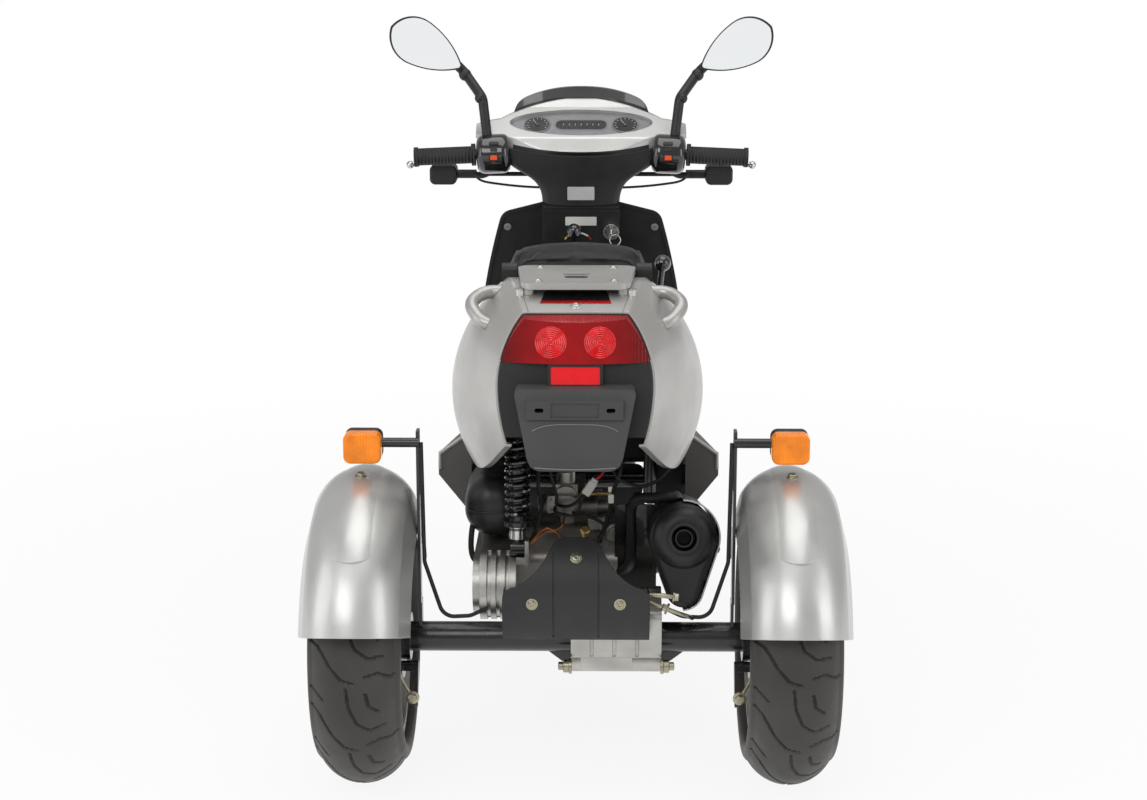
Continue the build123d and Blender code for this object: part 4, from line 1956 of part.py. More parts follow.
rear_wheel_place = (REAR_WHEEL_X, 0, REAR_TYRE_R)
front_wheel_place = (0, WHEELBASE, FRONT_TYRE_R)
right_tyre = at(tyre(REAR_TYRE_R, REAR_TYRE_W, REAR_RIM_R), *rear_wheel_place)
right_rim = at(rear_rim(), *rear_wheel_place)
PIECES = {
    "frame_spine": frame_spine(),
    "frame_rails": frame_rails(),
    "front_apron": front_apron(),
    "inner_leg_shield": inner_leg_shield(),
    "floor_board": floor_board(),
    "lower_skirts": lower_skirts(),
    "seat_box_cover": seat_box_cover(),
    "splash_guard": splash_guard(),
    "side_panels": side_panels(),
    "tail_panel": tail_panel(),
    "tail_lamp_lens": tail_lamp_lens(),
    "tail_lamp_housing": tail_lamp_housing(),
    "rear_reflector": rear_reflector(),
    "plate_carrier": plate_carrier(),
    "rear_rack": rear_rack(),
    "rack_brackets": rack_brackets(),
    "storage_bin": storage_bin(),
    "engine": engine(),
    "belt_cover": belt_cover(),
    "air_filter_box": airbox(),
    "rear_shock_damper": shock_damper(),
    "rear_shock_spring": shock_spring(),
    "muffler": muffler(),
    "muffler_shield": muffler_shield(),
    "axle_beam": axle_beam(),
    "axle_cover": axle_cover(),
    "final_drive_case": final_drive_case(),
    "brake_plates": brake_plates(),
    "rear_fenders": rear_fenders(),
    "fender_stays": fender_stays(),
    "rear_indicator_lenses": rear_indicator(True),
    "rear_indicator_bodies": rear_indicator(False),
    "cables": cables(),
    "control_levers": control_levers(),
    "ignition_lock": ignition_lock(),
    "fork": fork(),
    "front_fender": front_fender(),
    "front_caliper": front_caliper(),
    "handlebar_tube": handlebar_tube(),
    "handlebar_cover_lower": handlebar_cover_lower(),
    "handlebar_cowl": handlebar_cowl(),
    "instrument_panel": instrument_panel(),
    "flyscreen": flyscreen(),
    "headlamp": headlamp(),
    "grips": grips(),
    "switch_housings": switch_housings(),
    "brake_levers": brake_levers(),
    "mirror_housings": mirror_housings(),
    "mirror_glass": mirror_glass(),
    "front_indicators": front_indicators(),
    "front_tyre": at(tyre(FRONT_TYRE_R, FRONT_TYRE_W, FRONT_RIM_R), *front_wheel_place),
    "front_rim": at(front_rim(), *front_wheel_place),
    "front_brake_disc": at(front_disc(), *front_wheel_place),
    "rear_right_tyre": right_tyre,
    "rear_right_rim": right_rim,
    "rear_left_tyre": mirrored(right_tyre),
    "rear_left_rim": mirrored(right_rim),
    "seat_cushion": seat_cushion(),
    "seat_base": seat_base(),
}
os.makedirs("parts", exist_ok=True)
for name, piece in PIECES.items():
    solids = [s for p in (piece if isinstance(piece, list) else [piece]) for s in p.solids()]
    export_step(Pos(0, REAR_AXLE_Y, 0) * Compound(solids), f"parts/{name}.step")
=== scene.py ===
import bpy
import bmesh
import json
import math
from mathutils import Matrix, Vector


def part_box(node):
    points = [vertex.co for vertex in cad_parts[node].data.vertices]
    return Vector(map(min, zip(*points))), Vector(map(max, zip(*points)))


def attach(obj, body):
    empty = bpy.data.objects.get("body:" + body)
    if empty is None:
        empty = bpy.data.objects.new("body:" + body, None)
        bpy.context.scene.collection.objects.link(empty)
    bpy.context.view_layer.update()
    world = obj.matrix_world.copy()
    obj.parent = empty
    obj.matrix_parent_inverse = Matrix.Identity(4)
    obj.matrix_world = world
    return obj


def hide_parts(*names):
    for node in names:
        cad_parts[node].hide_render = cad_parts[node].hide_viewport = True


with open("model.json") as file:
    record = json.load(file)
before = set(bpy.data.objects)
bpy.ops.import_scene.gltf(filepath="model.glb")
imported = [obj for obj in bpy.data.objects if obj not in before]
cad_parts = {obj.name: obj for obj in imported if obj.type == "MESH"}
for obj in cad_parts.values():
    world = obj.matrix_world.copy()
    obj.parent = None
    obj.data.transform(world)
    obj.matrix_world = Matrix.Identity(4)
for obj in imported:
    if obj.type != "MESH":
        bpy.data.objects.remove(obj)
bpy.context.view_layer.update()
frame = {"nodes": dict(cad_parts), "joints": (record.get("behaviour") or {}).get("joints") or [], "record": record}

# Places taken from the frame, in metres
REAR_AXLE = Vector(next(j["pos_m"] for j in frame["joints"] if j["name"] == "rear_right_wheel_spin"))
FRONT_AXLE = Vector(next(j["pos_m"] for j in frame["joints"] if j["name"] == "front_wheel_spin"))
AXLE_Y = REAR_AXLE.y

# The photograph's camera: a long lens behind the rear axle, tipped down
IMAGE_WIDTH = 1147
FOCAL_PIXELS = 2119
SENSOR_MM = 36.0
CAMERA_BEHIND_AXLE = 3.4
CAMERA_HEIGHT = 1.42
CAMERA_X = 0.033
CAMERA_PITCH = 12.7
CAMERA_YAW = 0.64


# Materials
class Shader:
    """A node material with object coordinates and a few shorthand texture nodes."""

    def __init__(self, name):
        self.mat = bpy.data.materials.new(name)
        self.mat.use_nodes = True
        self.tree = self.mat.node_tree
        self.bsdf = self.tree.nodes["Principled BSDF"]
        self.coords = self.node("ShaderNodeTexCoord").outputs["Object"]

    def node(self, kind, **settings):
        made = self.tree.nodes.new(kind)
        for key, value in settings.items():
            setattr(made, key, value)
        return made

    def link(self, source, target):
        self.tree.links.new(source, target)

    def set(self, **values):
        for key, value in values.items():
            self.bsdf.inputs[key.replace("_", " ")].default_value = value

    def noise(self, scale, detail=2.0, roughness=0.5):
        made = self.node("ShaderNodeTexNoise")
        made.inputs["Scale"].default_value = scale
        made.inputs["Detail"].default_value = detail
        made.inputs["Roughness"].default_value = roughness
        self.link(self.coords, made.inputs["Vector"])
        return made.outputs["Fac"]

    def span(self, source, low, high, from_low=0.3, from_high=0.7):
        made = self.node("ShaderNodeMapRange")
        made.inputs["From Min"].default_value = from_low
        made.inputs["From Max"].default_value = from_high
        made.inputs["To Min"].default_value = low
        made.inputs["To Max"].default_value = high
        self.link(source, made.inputs["Value"])
        return made.outputs["Result"]

    def mix(self, factor, first, second):
        made = self.node("ShaderNodeMix", data_type="RGBA")
        self.link(factor, made.inputs["Factor"])
        for socket, value in ((made.inputs[6], first), (made.inputs[7], second)):
            if isinstance(value, tuple):
                socket.default_value = (*value, 1.0)
            else:
                self.link(value, socket)
        return made.outputs[2]

    def stripes(self, scale, axis):
        made = self.node("ShaderNodeTexWave", bands_direction=axis)
        made.inputs["Scale"].default_value = scale
        self.link(self.coords, made.inputs["Vector"])
        return made.outputs["Fac"]

    def bump(self, height, strength, distance):
        made = self.node("ShaderNodeBump")
        made.inputs["Strength"].default_value = strength
        made.inputs["Distance"].default_value = distance
        self.link(height, made.inputs["Height"])
        last = self.bsdf.inputs["Normal"].links
        if last:
            self.link(last[0].from_socket, made.inputs["Normal"])
        self.link(made.outputs["Normal"], self.bsdf.inputs["Normal"])

    def soften(self, radius):
        made = self.node("ShaderNodeBevel", samples=4)
        made.inputs["Radius"].default_value = radius
        self.link(made.outputs["Normal"], self.bsdf.inputs["Normal"])


def tinted(color, factor):
    return tuple(min(1.0, c * factor) for c in color)


def surface(name, color, roughness, metallic=0.0, mottle=0.12, mottle_scale=9.0, grain=900.0, depth=0.0002,
            rough_spread=0.06, edge=0.0012, ribs=None, **extra):
    """General finish: rounded edges, slow colour mottling, uneven gloss, a fine grain and moulded ribs in relief."""
    sh = Shader(name)
    slow = sh.noise(mottle_scale, 4.0)
    mottled = sh.mix(sh.span(slow, 0, 1), tinted(color, 1 - mottle), tinted(color, 1 + mottle))
    sh.link(mottled, sh.bsdf.inputs["Base Color"])
    uneven = sh.span(sh.noise(mottle_scale * 4, 3.0), roughness - rough_spread, roughness + rough_spread)
    sh.link(uneven, sh.bsdf.inputs["Roughness"])
    if edge:
        sh.soften(edge)
    if ribs:
        rib_scale, rib_axis, rib_depth = ribs
        sh.bump(sh.stripes(rib_scale, rib_axis), 1.0, rib_depth)
    sh.bump(sh.noise(grain, 2.0), 0.5, depth)
    sh.set(Metallic=metallic, **extra)
    return sh.mat


MATERIALS = {
    "silver_paint": surface("silver_paint", (0.56, 0.56, 0.545), 0.36, 0.6, 0.05, 5.0, 1900.0, 0.00008, edge=0.002,
                            Coat_Weight=0.35, Coat_Roughness=0.12),
    "black_plastic": surface("black_plastic", (0.0105, 0.0105, 0.011), 0.46, 0.0, 0.15, 12.0, 1100.0, 0.0002),
    "grey_plastic": surface("grey_plastic", (0.05, 0.05, 0.051), 0.56, 0.0, 0.1, 10.0, 900.0, 0.0003),
    "black_metal": surface("black_metal", (0.0075, 0.0075, 0.008), 0.3, 0.0, 0.2, 14.0, 500.0, 0.0001, Coat_Weight=0.4),
    "cast_aluminium": surface("cast_aluminium", (0.50, 0.49, 0.46), 0.4, 1.0, 0.16, 22.0, 700.0, 0.0004),
    "bright_steel": surface("bright_steel", (0.60, 0.60, 0.58), 0.24, 1.0, 0.08, 16.0, 1200.0, 0.0001),
    "rubber": surface("rubber", (0.0095, 0.0095, 0.0095), 0.58, 0.0, 0.15, 20.0, 900.0, 0.0002),
    "tyre": surface("tyre", (0.044, 0.040, 0.036), 0.52, 0.0, 0.3, 9.0, 700.0, 0.0003, edge=0),
    "red_lens": surface("red_lens", (0.27, 0.0, 0.0015), 0.16, 0.0, 0.25, 14.0, 300.0, 0.0001, ribs=(60, "X", 0.0003),
                        Coat_Weight=0.3, Specular_IOR_Level=0.3, Emission_Color=(1.0, 0.0, 0.008, 1.0),
                        Emission_Strength=0.07),
    "amber_lens": surface("amber_lens", (0.85, 0.20, 0.002), 0.2, 0.0, 0.25, 40.0, 300.0, 0.0002,
                          ribs=(70, "X", 0.0005), Coat_Weight=0.3, Specular_IOR_Level=0.3,
                          Emission_Color=(1.0, 0.3, 0.0, 1.0), Emission_Strength=0.22),
    "clear_lens": surface("clear_lens", (0.75, 0.78, 0.8), 0.08, 0.0, 0.04, 10.0, 300.0, 0.0001, ribs=(50, "X", 0.001),
                          Coat_Weight=1.0),
    "smoked_screen": surface("smoked_screen", (0.009, 0.009, 0.011), 0.12, 0.0, 0.1, 8.0, 300.0, 0.00005,
                             Coat_Weight=1.0),
    # Painted reflection: the mirror glass glows a faint pale white, standing in for the bright surroundings it mirrors
    "mirror_glass": surface("mirror_glass", (0.86, 0.88, 0.89), 0.03, 1.0, 0.01, 4.0, 200.0, 0.00001, rough_spread=0.01,
                            edge=0, Emission_Color=(0.93, 0.95, 0.97, 1.0), Emission_Strength=0.5),
    "seat_vinyl": surface("seat_vinyl", (0.009, 0.009, 0.0095), 0.5, 0.0, 0.15, 14.0, 420.0, 0.0005, edge=0,
                          Specular_IOR_Level=0.35),
}

# Finishes of single pieces that differ from the rest of their slot
GLOSS_BLACK = surface("gloss_black", (0.006, 0.006, 0.0065), 0.14, 0.0, 0.1, 12.0, 700.0, 0.00005, Coat_Weight=1.0)
COVER_GREY = surface("cover_grey", (0.021, 0.021, 0.022), 0.5, 0.0, 0.12, 10.0, 800.0, 0.0003)
SATIN_BLACK = surface("satin_black", (0.013, 0.013, 0.0125), 0.44, 0.0, 0.2, 14.0, 600.0, 0.0002)
GRIP_RUBBER = surface("grip_rubber", (0.0095, 0.0095, 0.0095), 0.55, 0.0, 0.15, 20.0, 900.0, 0.0002,
                      ribs=(46, "X", 0.0011))
SWITCH_ORANGE = surface("switch_orange", (0.85, 0.10, 0.01), 0.3, 0.0, 0.06, 40.0, 900.0, 0.0001)
PALE_PLASTIC = surface("pale_plastic", (0.62, 0.62, 0.58), 0.45, 0.0, 0.06, 30.0, 900.0, 0.0001)
COPPER = surface("copper", (0.42, 0.17, 0.07), 0.35, 1.0, 0.15, 40.0, 900.0, 0.0001)
BRASS = surface("brass", (0.50, 0.36, 0.14), 0.32, 1.0, 0.15, 40.0, 900.0, 0.0001)
EDGE_GREY = surface("edge_grey", (0.20, 0.20, 0.20), 0.4, 0.0, 0.1, 20.0, 900.0, 0.0001)
PANEL_SILVER = surface("panel_silver", (0.435, 0.425, 0.405), 0.38, 0.5, 0.05, 5.0, 1900.0, 0.00008, edge=0.002,
                       Coat_Weight=0.35, Coat_Roughness=0.14)
SKIRT_GREY = surface("skirt_grey", (0.105, 0.10, 0.095), 0.55, 0.0, 0.1, 10.0, 900.0, 0.0003)
CLUSTER_GREY = surface("cluster_grey", (0.24, 0.24, 0.25), 0.22, 0.3, 0.1, 20.0, 900.0, 0.0001, Coat_Weight=1.0)
PLATE_SILVER = surface("plate_silver", (0.52, 0.52, 0.51), 0.42, 0.15, 0.06, 20.0, 900.0, 0.0001)
LAMP_RED = surface("lamp_red", (0.42, 0.002, 0.004), 0.14, 0.0, 0.45, 90.0, 400.0, 0.0003, edge=0, Coat_Weight=0.4,
                   Emission_Color=(1.0, 0.003, 0.01, 1.0), Emission_Strength=0.24)
# Painted light: the rear reflector glows faintly red though it is no lamp, standing in for the light it throws back
REFLECTOR_PAINTED_GLOW = surface("reflector_painted_glow", (0.62, 0.004, 0.008), 0.22, 0.0, 0.08, 60.0, 500.0, 0.0003, Coat_Weight=0.2,
                        Emission_Color=(1.0, 0.004, 0.012, 1.0), Emission_Strength=0.3)
ZINC = surface("zinc", (0.42, 0.39, 0.29), 0.32, 1.0, 0.2, 60.0, 900.0, 0.0001)
TAG_RED = surface("tag_red", (0.42, 0.01, 0.012), 0.4, 0.0, 0.06, 40.0, 900.0, 0.0001)
MARK_YELLOW = surface("mark_yellow", (0.62, 0.42, 0.03), 0.4, 0.0, 0.06, 40.0, 900.0, 0.0001)


def dress(obj, mat):
    obj.data.materials.clear()
    obj.data.materials.append(mat)


for part in frame["record"]["subparts"]:
    dress(frame["nodes"][part["node"]], MATERIALS[part["material_slot"]])
for node, mat in (
    ("axle_cover", COVER_GREY),
    ("muffler", SATIN_BLACK),
    ("grips", GRIP_RUBBER),
    ("side_panels", PANEL_SILVER),
    ("tail_panel", PANEL_SILVER),
    ("rear_rack", PANEL_SILVER),
    ("lower_skirts", SKIRT_GREY),
    ("instrument_panel", CLUSTER_GREY),
    ("rear_reflector", REFLECTOR_PAINTED_GLOW),
    ("switch_housings", GLOSS_BLACK),
    ("control_levers", GLOSS_BLACK),
    ("air_filter_box", SATIN_BLACK),
):
    dress(frame["nodes"][node], mat)


# Added pieces, in millimetres, with y counted forward from the rear axle
def spot(x, y, z):
    return Vector((x / 1000, y / 1000 + AXLE_Y, z / 1000))


def arc3(first, via, last, count):
    """Points along the circle through three points of a plane."""
    (ax, ay), (bx, by), (cx, cy) = first, via, last
    d = 2 * (ax * (by - cy) + bx * (cy - ay) + cx * (ay - by))
    a2, b2, c2 = ax * ax + ay * ay, bx * bx + by * by, cx * cx + cy * cy
    ux = (a2 * (by - cy) + b2 * (cy - ay) + c2 * (ay - by)) / d
    uy = (a2 * (cx - bx) + b2 * (ax - cx) + c2 * (bx - ax)) / d
    radius = math.hypot(ax - ux, ay - uy)
    start = math.atan2(ay - uy, ax - ux)
    turn = (math.atan2(cy - uy, cx - ux) - start) % (2 * math.pi)
    middle = (math.atan2(by - uy, bx - ux) - start) % (2 * math.pi)
    if middle > turn:
        turn -= 2 * math.pi
    return [(ux + radius * math.cos(start + turn * i / count), uy + radius * math.sin(start + turn * i / count))
            for i in range(count + 1)]


def smooth_path(points, count=8):
    """Round curve through all the points."""
    pts = [Vector(p) for p in points]
    if len(pts) < 3:
        return pts
    path = []
    for i in range(len(pts) - 1):
        p0, p1 = pts[max(i - 1, 0)], pts[i]
        p2, p3 = pts[i + 1], pts[min(i + 2, len(pts) - 1)]
        for k in range(count):
            t = k / count
            path.append(0.5 * (2 * p1 + (p2 - p0) * t + (2 * p0 - 5 * p1 + 4 * p2 - p3) * t * t
                               + (3 * p1 - p0 - 3 * p2 + p3) * t ** 3))
    return path + [pts[-1]]


class Form:
    """Mesh gathered from turned, swept and flat shapes."""

    def __init__(self):
        self.verts = []
        self.faces = []

    def rings(self, rows, capped=True, closed=False):
        first, steps = len(self.verts), len(rows[0])
        for row in rows:
            self.verts.extend(row)
        for i in range(len(rows) if closed else len(rows) - 1):
            low, high = first + i * steps, first + (i + 1) % len(rows) * steps
            for j in range(steps):
                k = (j + 1) % steps
                self.faces.append((low + j, low + k, high + k, high + j))
        if capped and not closed:
            self.faces.append(tuple(first + j for j in reversed(range(steps))))
            self.faces.append(tuple(first + (len(rows) - 1) * steps + j for j in range(steps)))

    def turned(self, place, axis, profile, steps=24):
        """Profile rows of radius and distance along the axis."""
        axis = Vector(axis).normalized()
        side = axis.orthogonal().normalized()
        other = axis.cross(side)
        place = Vector(place)
        rows = []
        for radius, along in profile:
            turns = [2 * math.pi * j / steps for j in range(steps)]
            rows.append([place + axis * along + (side * math.cos(t) + other * math.sin(t)) * radius for t in turns])
        self.rings(rows)
        return self

    def swept(self, points, radius, steps=10, closed=False, count=8):
        path = [Vector(p) for p in points] if closed else smooth_path(points, count)
        total = len(path)
        rows = []
        side = None
        for i, point in enumerate(path):
            before = path[i - 1] if closed or i else point
            after = path[(i + 1) % total] if closed or i < total - 1 else point
            ahead = (after - before).normalized()
            side = ahead.orthogonal() if side is None else side - ahead * side.dot(ahead)
            side = side.normalized()
            other = ahead.cross(side)
            turns = [2 * math.pi * j / steps for j in range(steps)]
            rows.append([point + (side * math.cos(t) + other * math.sin(t)) * radius for t in turns])
        self.rings(rows, closed=closed)
        return self

    def plate(self, place, normal, outline, depth, up=(0, 0, 1)):
        """Flat plate standing out of a surface; outline points are right and up in its plane."""
        normal = Vector(normal).normalized()
        rise = Vector(up) - normal * Vector(up).dot(normal)
        rise = rise.normalized()
        right = rise.cross(normal)
        base = [Vector(place) + right * a + rise * b for a, b in outline]
        self.rings([base, [p + normal * depth for p in base]])
        return self

    def grid(self, points, wide):
        """Sheet through rows of points, each row so many points wide."""
        self.verts = points
        for i in range(len(points) // wide - 1):
            for j in range(wide - 1):
                low = i * wide + j
                self.faces.append((low, low + 1, low + wide + 1, low + wide))
        return self

    def make(self, name, mat, body, slot, sharp=32.0, replaces=(), second=None, in_second=None):
        mesh = bpy.data.meshes.new(name)
        mesh.from_pydata([spot(*v) for v in self.verts], [], self.faces)
        work = bmesh.new()
        work.from_mesh(mesh)
        bmesh.ops.recalc_face_normals(work, faces=work.faces)
        work.to_mesh(mesh)
        work.free()
        mesh.shade_smooth()
        mesh.set_sharp_from_angle(angle=math.radians(sharp))
        mesh.materials.append(mat)
        if second:
            mesh.materials.append(second)
            mesh.polygons.foreach_set("material_index", [int(in_second(face)) for face in self.faces])
        piece = bpy.data.objects.new(name, mesh)
        bpy.context.scene.collection.objects.link(piece)
        if replaces:
            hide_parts(*replaces)
        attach(piece, body)
        return piece


def box_outline(width, height, radius=0.0, steps=4):
    """Rectangle with round corners about the middle."""
    a, b = width / 2 - radius, height / 2 - radius
    points = []
    for cx, cy, start in ((a, b, 0), (-a, b, 90), (-a, -b, 180), (a, -b, 270)):
        for i in range(steps + 1):
            t = math.radians(start + 90 * i / steps)
            points.append((cx + radius * math.cos(t), cy + radius * math.sin(t)))
    return points


def on(node, x=None, y=None, z=None):
    """Outermost place on a node, and its normal.

    Without y it is looked for from behind, without z from above and without x from the side.
    """
    obj = frame["nodes"][node]
    if y is None:
        origin, way = spot(x, -900, z), Vector((0, 1, 0))
    elif z is None:
        origin, way = spot(x, y, 1600), Vector((0, 0, -1))
    else:
        side = 1 if x is None or x > 0 else -1
        origin, way = spot(900 * side, y, z), Vector((-side, 0, 0))
    found, place, normal, _ = obj.ray_cast(origin, way)
    if not found:
        raise ValueError(f"no surface of {node} at {x}, {y}, {z}")
    return Vector((place.x * 1000, (place.y - AXLE_Y) * 1000, place.z * 1000)), normal


def level_axes(normal):
    """Right and up in the plane of a surface."""
    up = (Vector((0, 0, 1)) - normal * normal.z).normalized()
    return up.cross(normal), up


def screw(form, place, normal, radius, height=4.0):
    """Round head on a washer, with a driver recess."""
    profile = [(1.5 * radius, -1.0), (1.5 * radius, 1.0), (radius, 1.2), (radius, height - 0.8), (0.8 * radius, height),
               (0.5 * radius, height), (0.45 * radius, height - 1.6), (0.05, height - 1.6)]
    form.turned(place, normal, profile, 20)


def hex_bolt(form, place, normal, radius, height=6.0):
    form.turned(place, normal, [(1.6 * radius, -1.0), (1.6 * radius, 1.2), (1.5 * radius, 1.4)], 20)
    form.turned(place, normal, [(radius, 1.0), (1.15 * radius, 1.4), (1.15 * radius, height - 1), (radius, height)], 6)


# Tyres: the moulded section turned about the axle, with curved grooves cut into the tread
REAR_HALF_TRACK = 354.0
REAR_TYRE = {"radius": 245.0, "width": 150.0, "rim": 165.0}
FRONT_TYRE = {"radius": 235.0, "width": 120.0, "rim": 152.0}
PITCHES = 12
BEAD_INSET = 20.0
BEAD_FOOT = 10.0
SHOULDER_INSET = 9.0
CROWN_DROP = 38.0
WIDEST_DROP = 54.0
SMOOTH_ANGLE = 60.0

# Grooves of one pitch: points of across and along, in parts of the half width and of the pitch
GROOVES = (
    ((-0.98, 0.62), (-0.72, 0.50), (-0.45, 0.22), (-0.20, 0.06), (0.05, 0.02)),
    ((-0.10, 0.95), (-0.06, 0.70), (0.10, 0.46), (0.36, 0.34), (0.66, 0.36)),
    ((0.30, 0.88), (0.36, 0.70), (0.55, 0.60)),
    ((-0.95, 0.90), (-0.74, 0.80), (-0.62, 0.74)),
    ((0.98, 0.10), (0.80, 0.06), (0.56, 0.14), (0.30, 0.10)),
)
GROOVE_HALF = 2.3
GROOVE_DEPTH = 3.2
GROOVE_BLUR = 0.8


def groove_depth(across, along, pitch, half):
    """Depth of the nearest groove at a place of the tread, in millimetres."""
    nearest = math.inf
    for line in GROOVES:
        for (a0, s0), (a1, s1) in zip(line, line[1:]):
            for shift in (-pitch, 0.0, pitch):
                px, py = a0 * half, s0 * pitch + shift
                dx, dy = (a1 - a0) * half, (s1 - s0) * pitch
                t = ((across - px) * dx + (along - py) * dy) / (dx * dx + dy * dy)
                t = min(1.0, max(0.0, t))
                nearest = min(nearest, math.hypot(across - px - t * dx, along - py - t * dy))
    edge = min(1.0, max(0.0, (GROOVE_HALF + GROOVE_BLUR - nearest) / (2 * GROOVE_BLUR)))
    return GROOVE_DEPTH * edge * edge * (3 - 2 * edge)


def tyre(name, body, center_x, axle_y, rows_per_pitch, columns, radius, width, rim):
    """Tyre standing on the floor, with its grooves' faces in a second, blacker rubber as painted shade in the grooves.
    """
    side = width / 2
    bead = side - BEAD_INSET
    shoulder = (side - SHOULDER_INSET, radius - CROWN_DROP)
    foot = (bead, rim + BEAD_FOOT)
    wall = arc3(foot, (side, radius - WIDEST_DROP), shoulder, 10)
    crown = arc3(shoulder, (0, radius), (-shoulder[0], shoulder[1]), columns)
    section = [(bead, rim)] + wall[:-1] + crown + [(-a, b) for a, b in reversed(wall[:-1])] + [(-bead, rim)]
    pitch = 2 * math.pi * radius / PITCHES
    tread = range(len(wall), len(wall) + len(crown))
    cuts = []
    for k in range(rows_per_pitch):
        cuts.append([groove_depth(section[i][0], pitch * k / rows_per_pitch, pitch, side) if i in tread else 0.0
                     for i in range(len(section))])
    form = Form()
    total = PITCHES * rows_per_pitch
    rows = []
    for j in range(total):
        t = 2 * math.pi * j / total
        row = []
        for (across, out), cut in zip(section, cuts[j % rows_per_pitch]):
            r = out - cut
            row.append((center_x + across, axle_y + r * math.sin(t), radius + r * math.cos(t)))
        rows.append(row)
    form.rings(rows, closed=True)
    wide = len(section)

    # Painted shade: the faces deep in the grooves take the blacker rubber, darker as shade falls in them
    def in_shaded_groove(face):
        return cuts[face[0] // wide % rows_per_pitch][face[0] % wide] > 0.35 * GROOVE_DEPTH

    node = name.replace("_tread", "_tyre")
    return form.make(name, MATERIALS["tyre"], body, "tyre", SMOOTH_ANGLE, (node,), MATERIALS["rubber"], in_shaded_groove)


FRONT_Y = (FRONT_AXLE.y - AXLE_Y) * 1000
tyre("rear_left_tread", "rear_left_wheel", -REAR_HALF_TRACK, 0.0, 60, 84, **REAR_TYRE)
tyre("rear_right_tread", "rear_right_wheel", REAR_HALF_TRACK, 0.0, 60, 84, **REAR_TYRE)
tyre("front_tread", "front_wheel", 0.0, FRONT_Y, 44, 60, **FRONT_TYRE)


# Rear spring: one wire wound round the damper
SHOCK_X = -100.0
SHOCK_LOW = Vector((SHOCK_X, 44, 388))
SHOCK_HIGH = Vector((SHOCK_X, 64, 690))
SHOCK_WAY = (SHOCK_HIGH - SHOCK_LOW).normalized()
COIL_START = 50.6
COIL_PITCH = 12.6
COIL_TURNS = 14.8
COIL_STEPS = 22
COIL_R = 18.4
COIL_WIRE_R = 4.3


def shock_place(along, turn=0.0, radius=0.0):
    side = Vector((1, 0, 0))
    other = SHOCK_WAY.cross(side)
    return SHOCK_LOW + SHOCK_WAY * along + (side * math.cos(turn) + other * math.sin(turn)) * radius


coil = [shock_place(COIL_START + COIL_PITCH * i / COIL_STEPS, 2 * math.pi * i / COIL_STEPS, COIL_R)
        for i in range(int(COIL_TURNS * COIL_STEPS))]
Form().swept(coil, COIL_WIRE_R, 9, count=1).make(
    "spring_coil", GLOSS_BLACK, "chassis", "black_metal", replaces=("rear_shock_spring",))
eye = Form()
eye.turned(shock_place(14), SHOCK_WAY, [(12.5, 0), (14.0, 2), (14.0, 20), (16.0, 21), (16.0, 27), (12.5, 28)])
eye.make("shock_lower_eye", MATERIALS["bright_steel"], "chassis", "bright_steel")


# Seat cushion: the moulded block swollen by cloth pressure over its flat underside
SEAT_VOXEL = 0.005
SEAT_CAP = 0.006
SEAT_START = 0.004
SEAT_CREASE_Z = 0.866
SEAT_CREASE_DEPTH = 0.004
SEAT_CREASE_HALF = 0.0045
SEAT_SEAM_IN = 0.034
SEAT_SEAM_DEPTH = 0.0028
SEAT_SEAM_HALF = 0.0034
SEAT_STEP_Y = AXLE_Y + 0.300
SEAT_PRESSURE = 4.0
SEAT_FRAMES = 20
FACES_DOWN = -0.6


def cushion():
    """Remeshed cushion, drawn in a little, blown up as cloth within a cap, with seams pressed into it."""
    node = frame["nodes"]["seat_cushion"]
    low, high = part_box("seat_cushion")
    piece = bpy.data.objects.new("seat_pad", node.data.copy())
    bpy.context.scene.collection.objects.link(piece)
    bpy.context.view_layer.objects.active = piece
    remesh = piece.modifiers.new("remesh", "REMESH")
    remesh.mode = "VOXEL"
    remesh.voxel_size = SEAT_VOXEL
    bpy.ops.object.modifier_apply(modifier="remesh")
    mesh = piece.data
    for _ in range(2):
        mesh.update()
        normals = [v.normal.copy() for v in mesh.vertices]
        for v, n in zip(mesh.vertices, normals):
            if n.z > FACES_DOWN:
                v.co -= n * SEAT_START / 2
    start = [v.co.copy() for v in mesh.vertices]
    pin = piece.vertex_groups.new(name="under")
    pin.add([v.index for v in mesh.vertices if v.normal.z < FACES_DOWN], 1.0, "REPLACE")
    cloth = piece.modifiers.new("cloth", "CLOTH")
    cloth.settings.use_pressure = True
    cloth.settings.uniform_pressure_force = SEAT_PRESSURE
    cloth.settings.vertex_group_mass = "under"
    cloth.settings.effector_weights.gravity = 0.0
    scene = bpy.context.scene
    for step in range(1, SEAT_FRAMES + 1):
        scene.frame_set(step)
    depsgraph = bpy.context.evaluated_depsgraph_get()
    moved = [v.co.copy() for v in piece.evaluated_get(depsgraph).data.vertices]
    scene.frame_set(1)
    piece.modifiers.remove(cloth)
    for v, was, now in zip(mesh.vertices, start, moved):
        step = now - was
        v.co = was + step * min(1.0, SEAT_CAP / max(step.length, 1e-9))
    half = (high.x - low.x) / 2
    for v in mesh.vertices:
        if v.normal.y < -0.3:
            v.co.y += SEAT_CREASE_DEPTH * math.exp(-((v.co.z - SEAT_CREASE_Z) / SEAT_CREASE_HALF) ** 2)
        if v.normal.z > 0.25:
            edge = abs(abs(v.co.x) - (half - SEAT_SEAM_IN))
            line = min(edge, abs(v.co.y - SEAT_STEP_Y))
            v.co.z -= SEAT_SEAM_DEPTH * math.exp(-(line / SEAT_SEAM_HALF) ** 2)
    for v in mesh.vertices:
        v.co = Vector(min(max(c, a), b) for c, a, b in zip(v.co, low, high))
    smooth = piece.modifiers.new("smooth", "SUBSURF")
    smooth.levels = 1
    smooth.render_levels = 1
    bpy.ops.object.modifier_apply(modifier="smooth")
    mesh.shade_smooth()
    dress(piece, MATERIALS["seat_vinyl"])
    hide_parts("seat_cushion")
    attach(piece, "seat")


cushion()


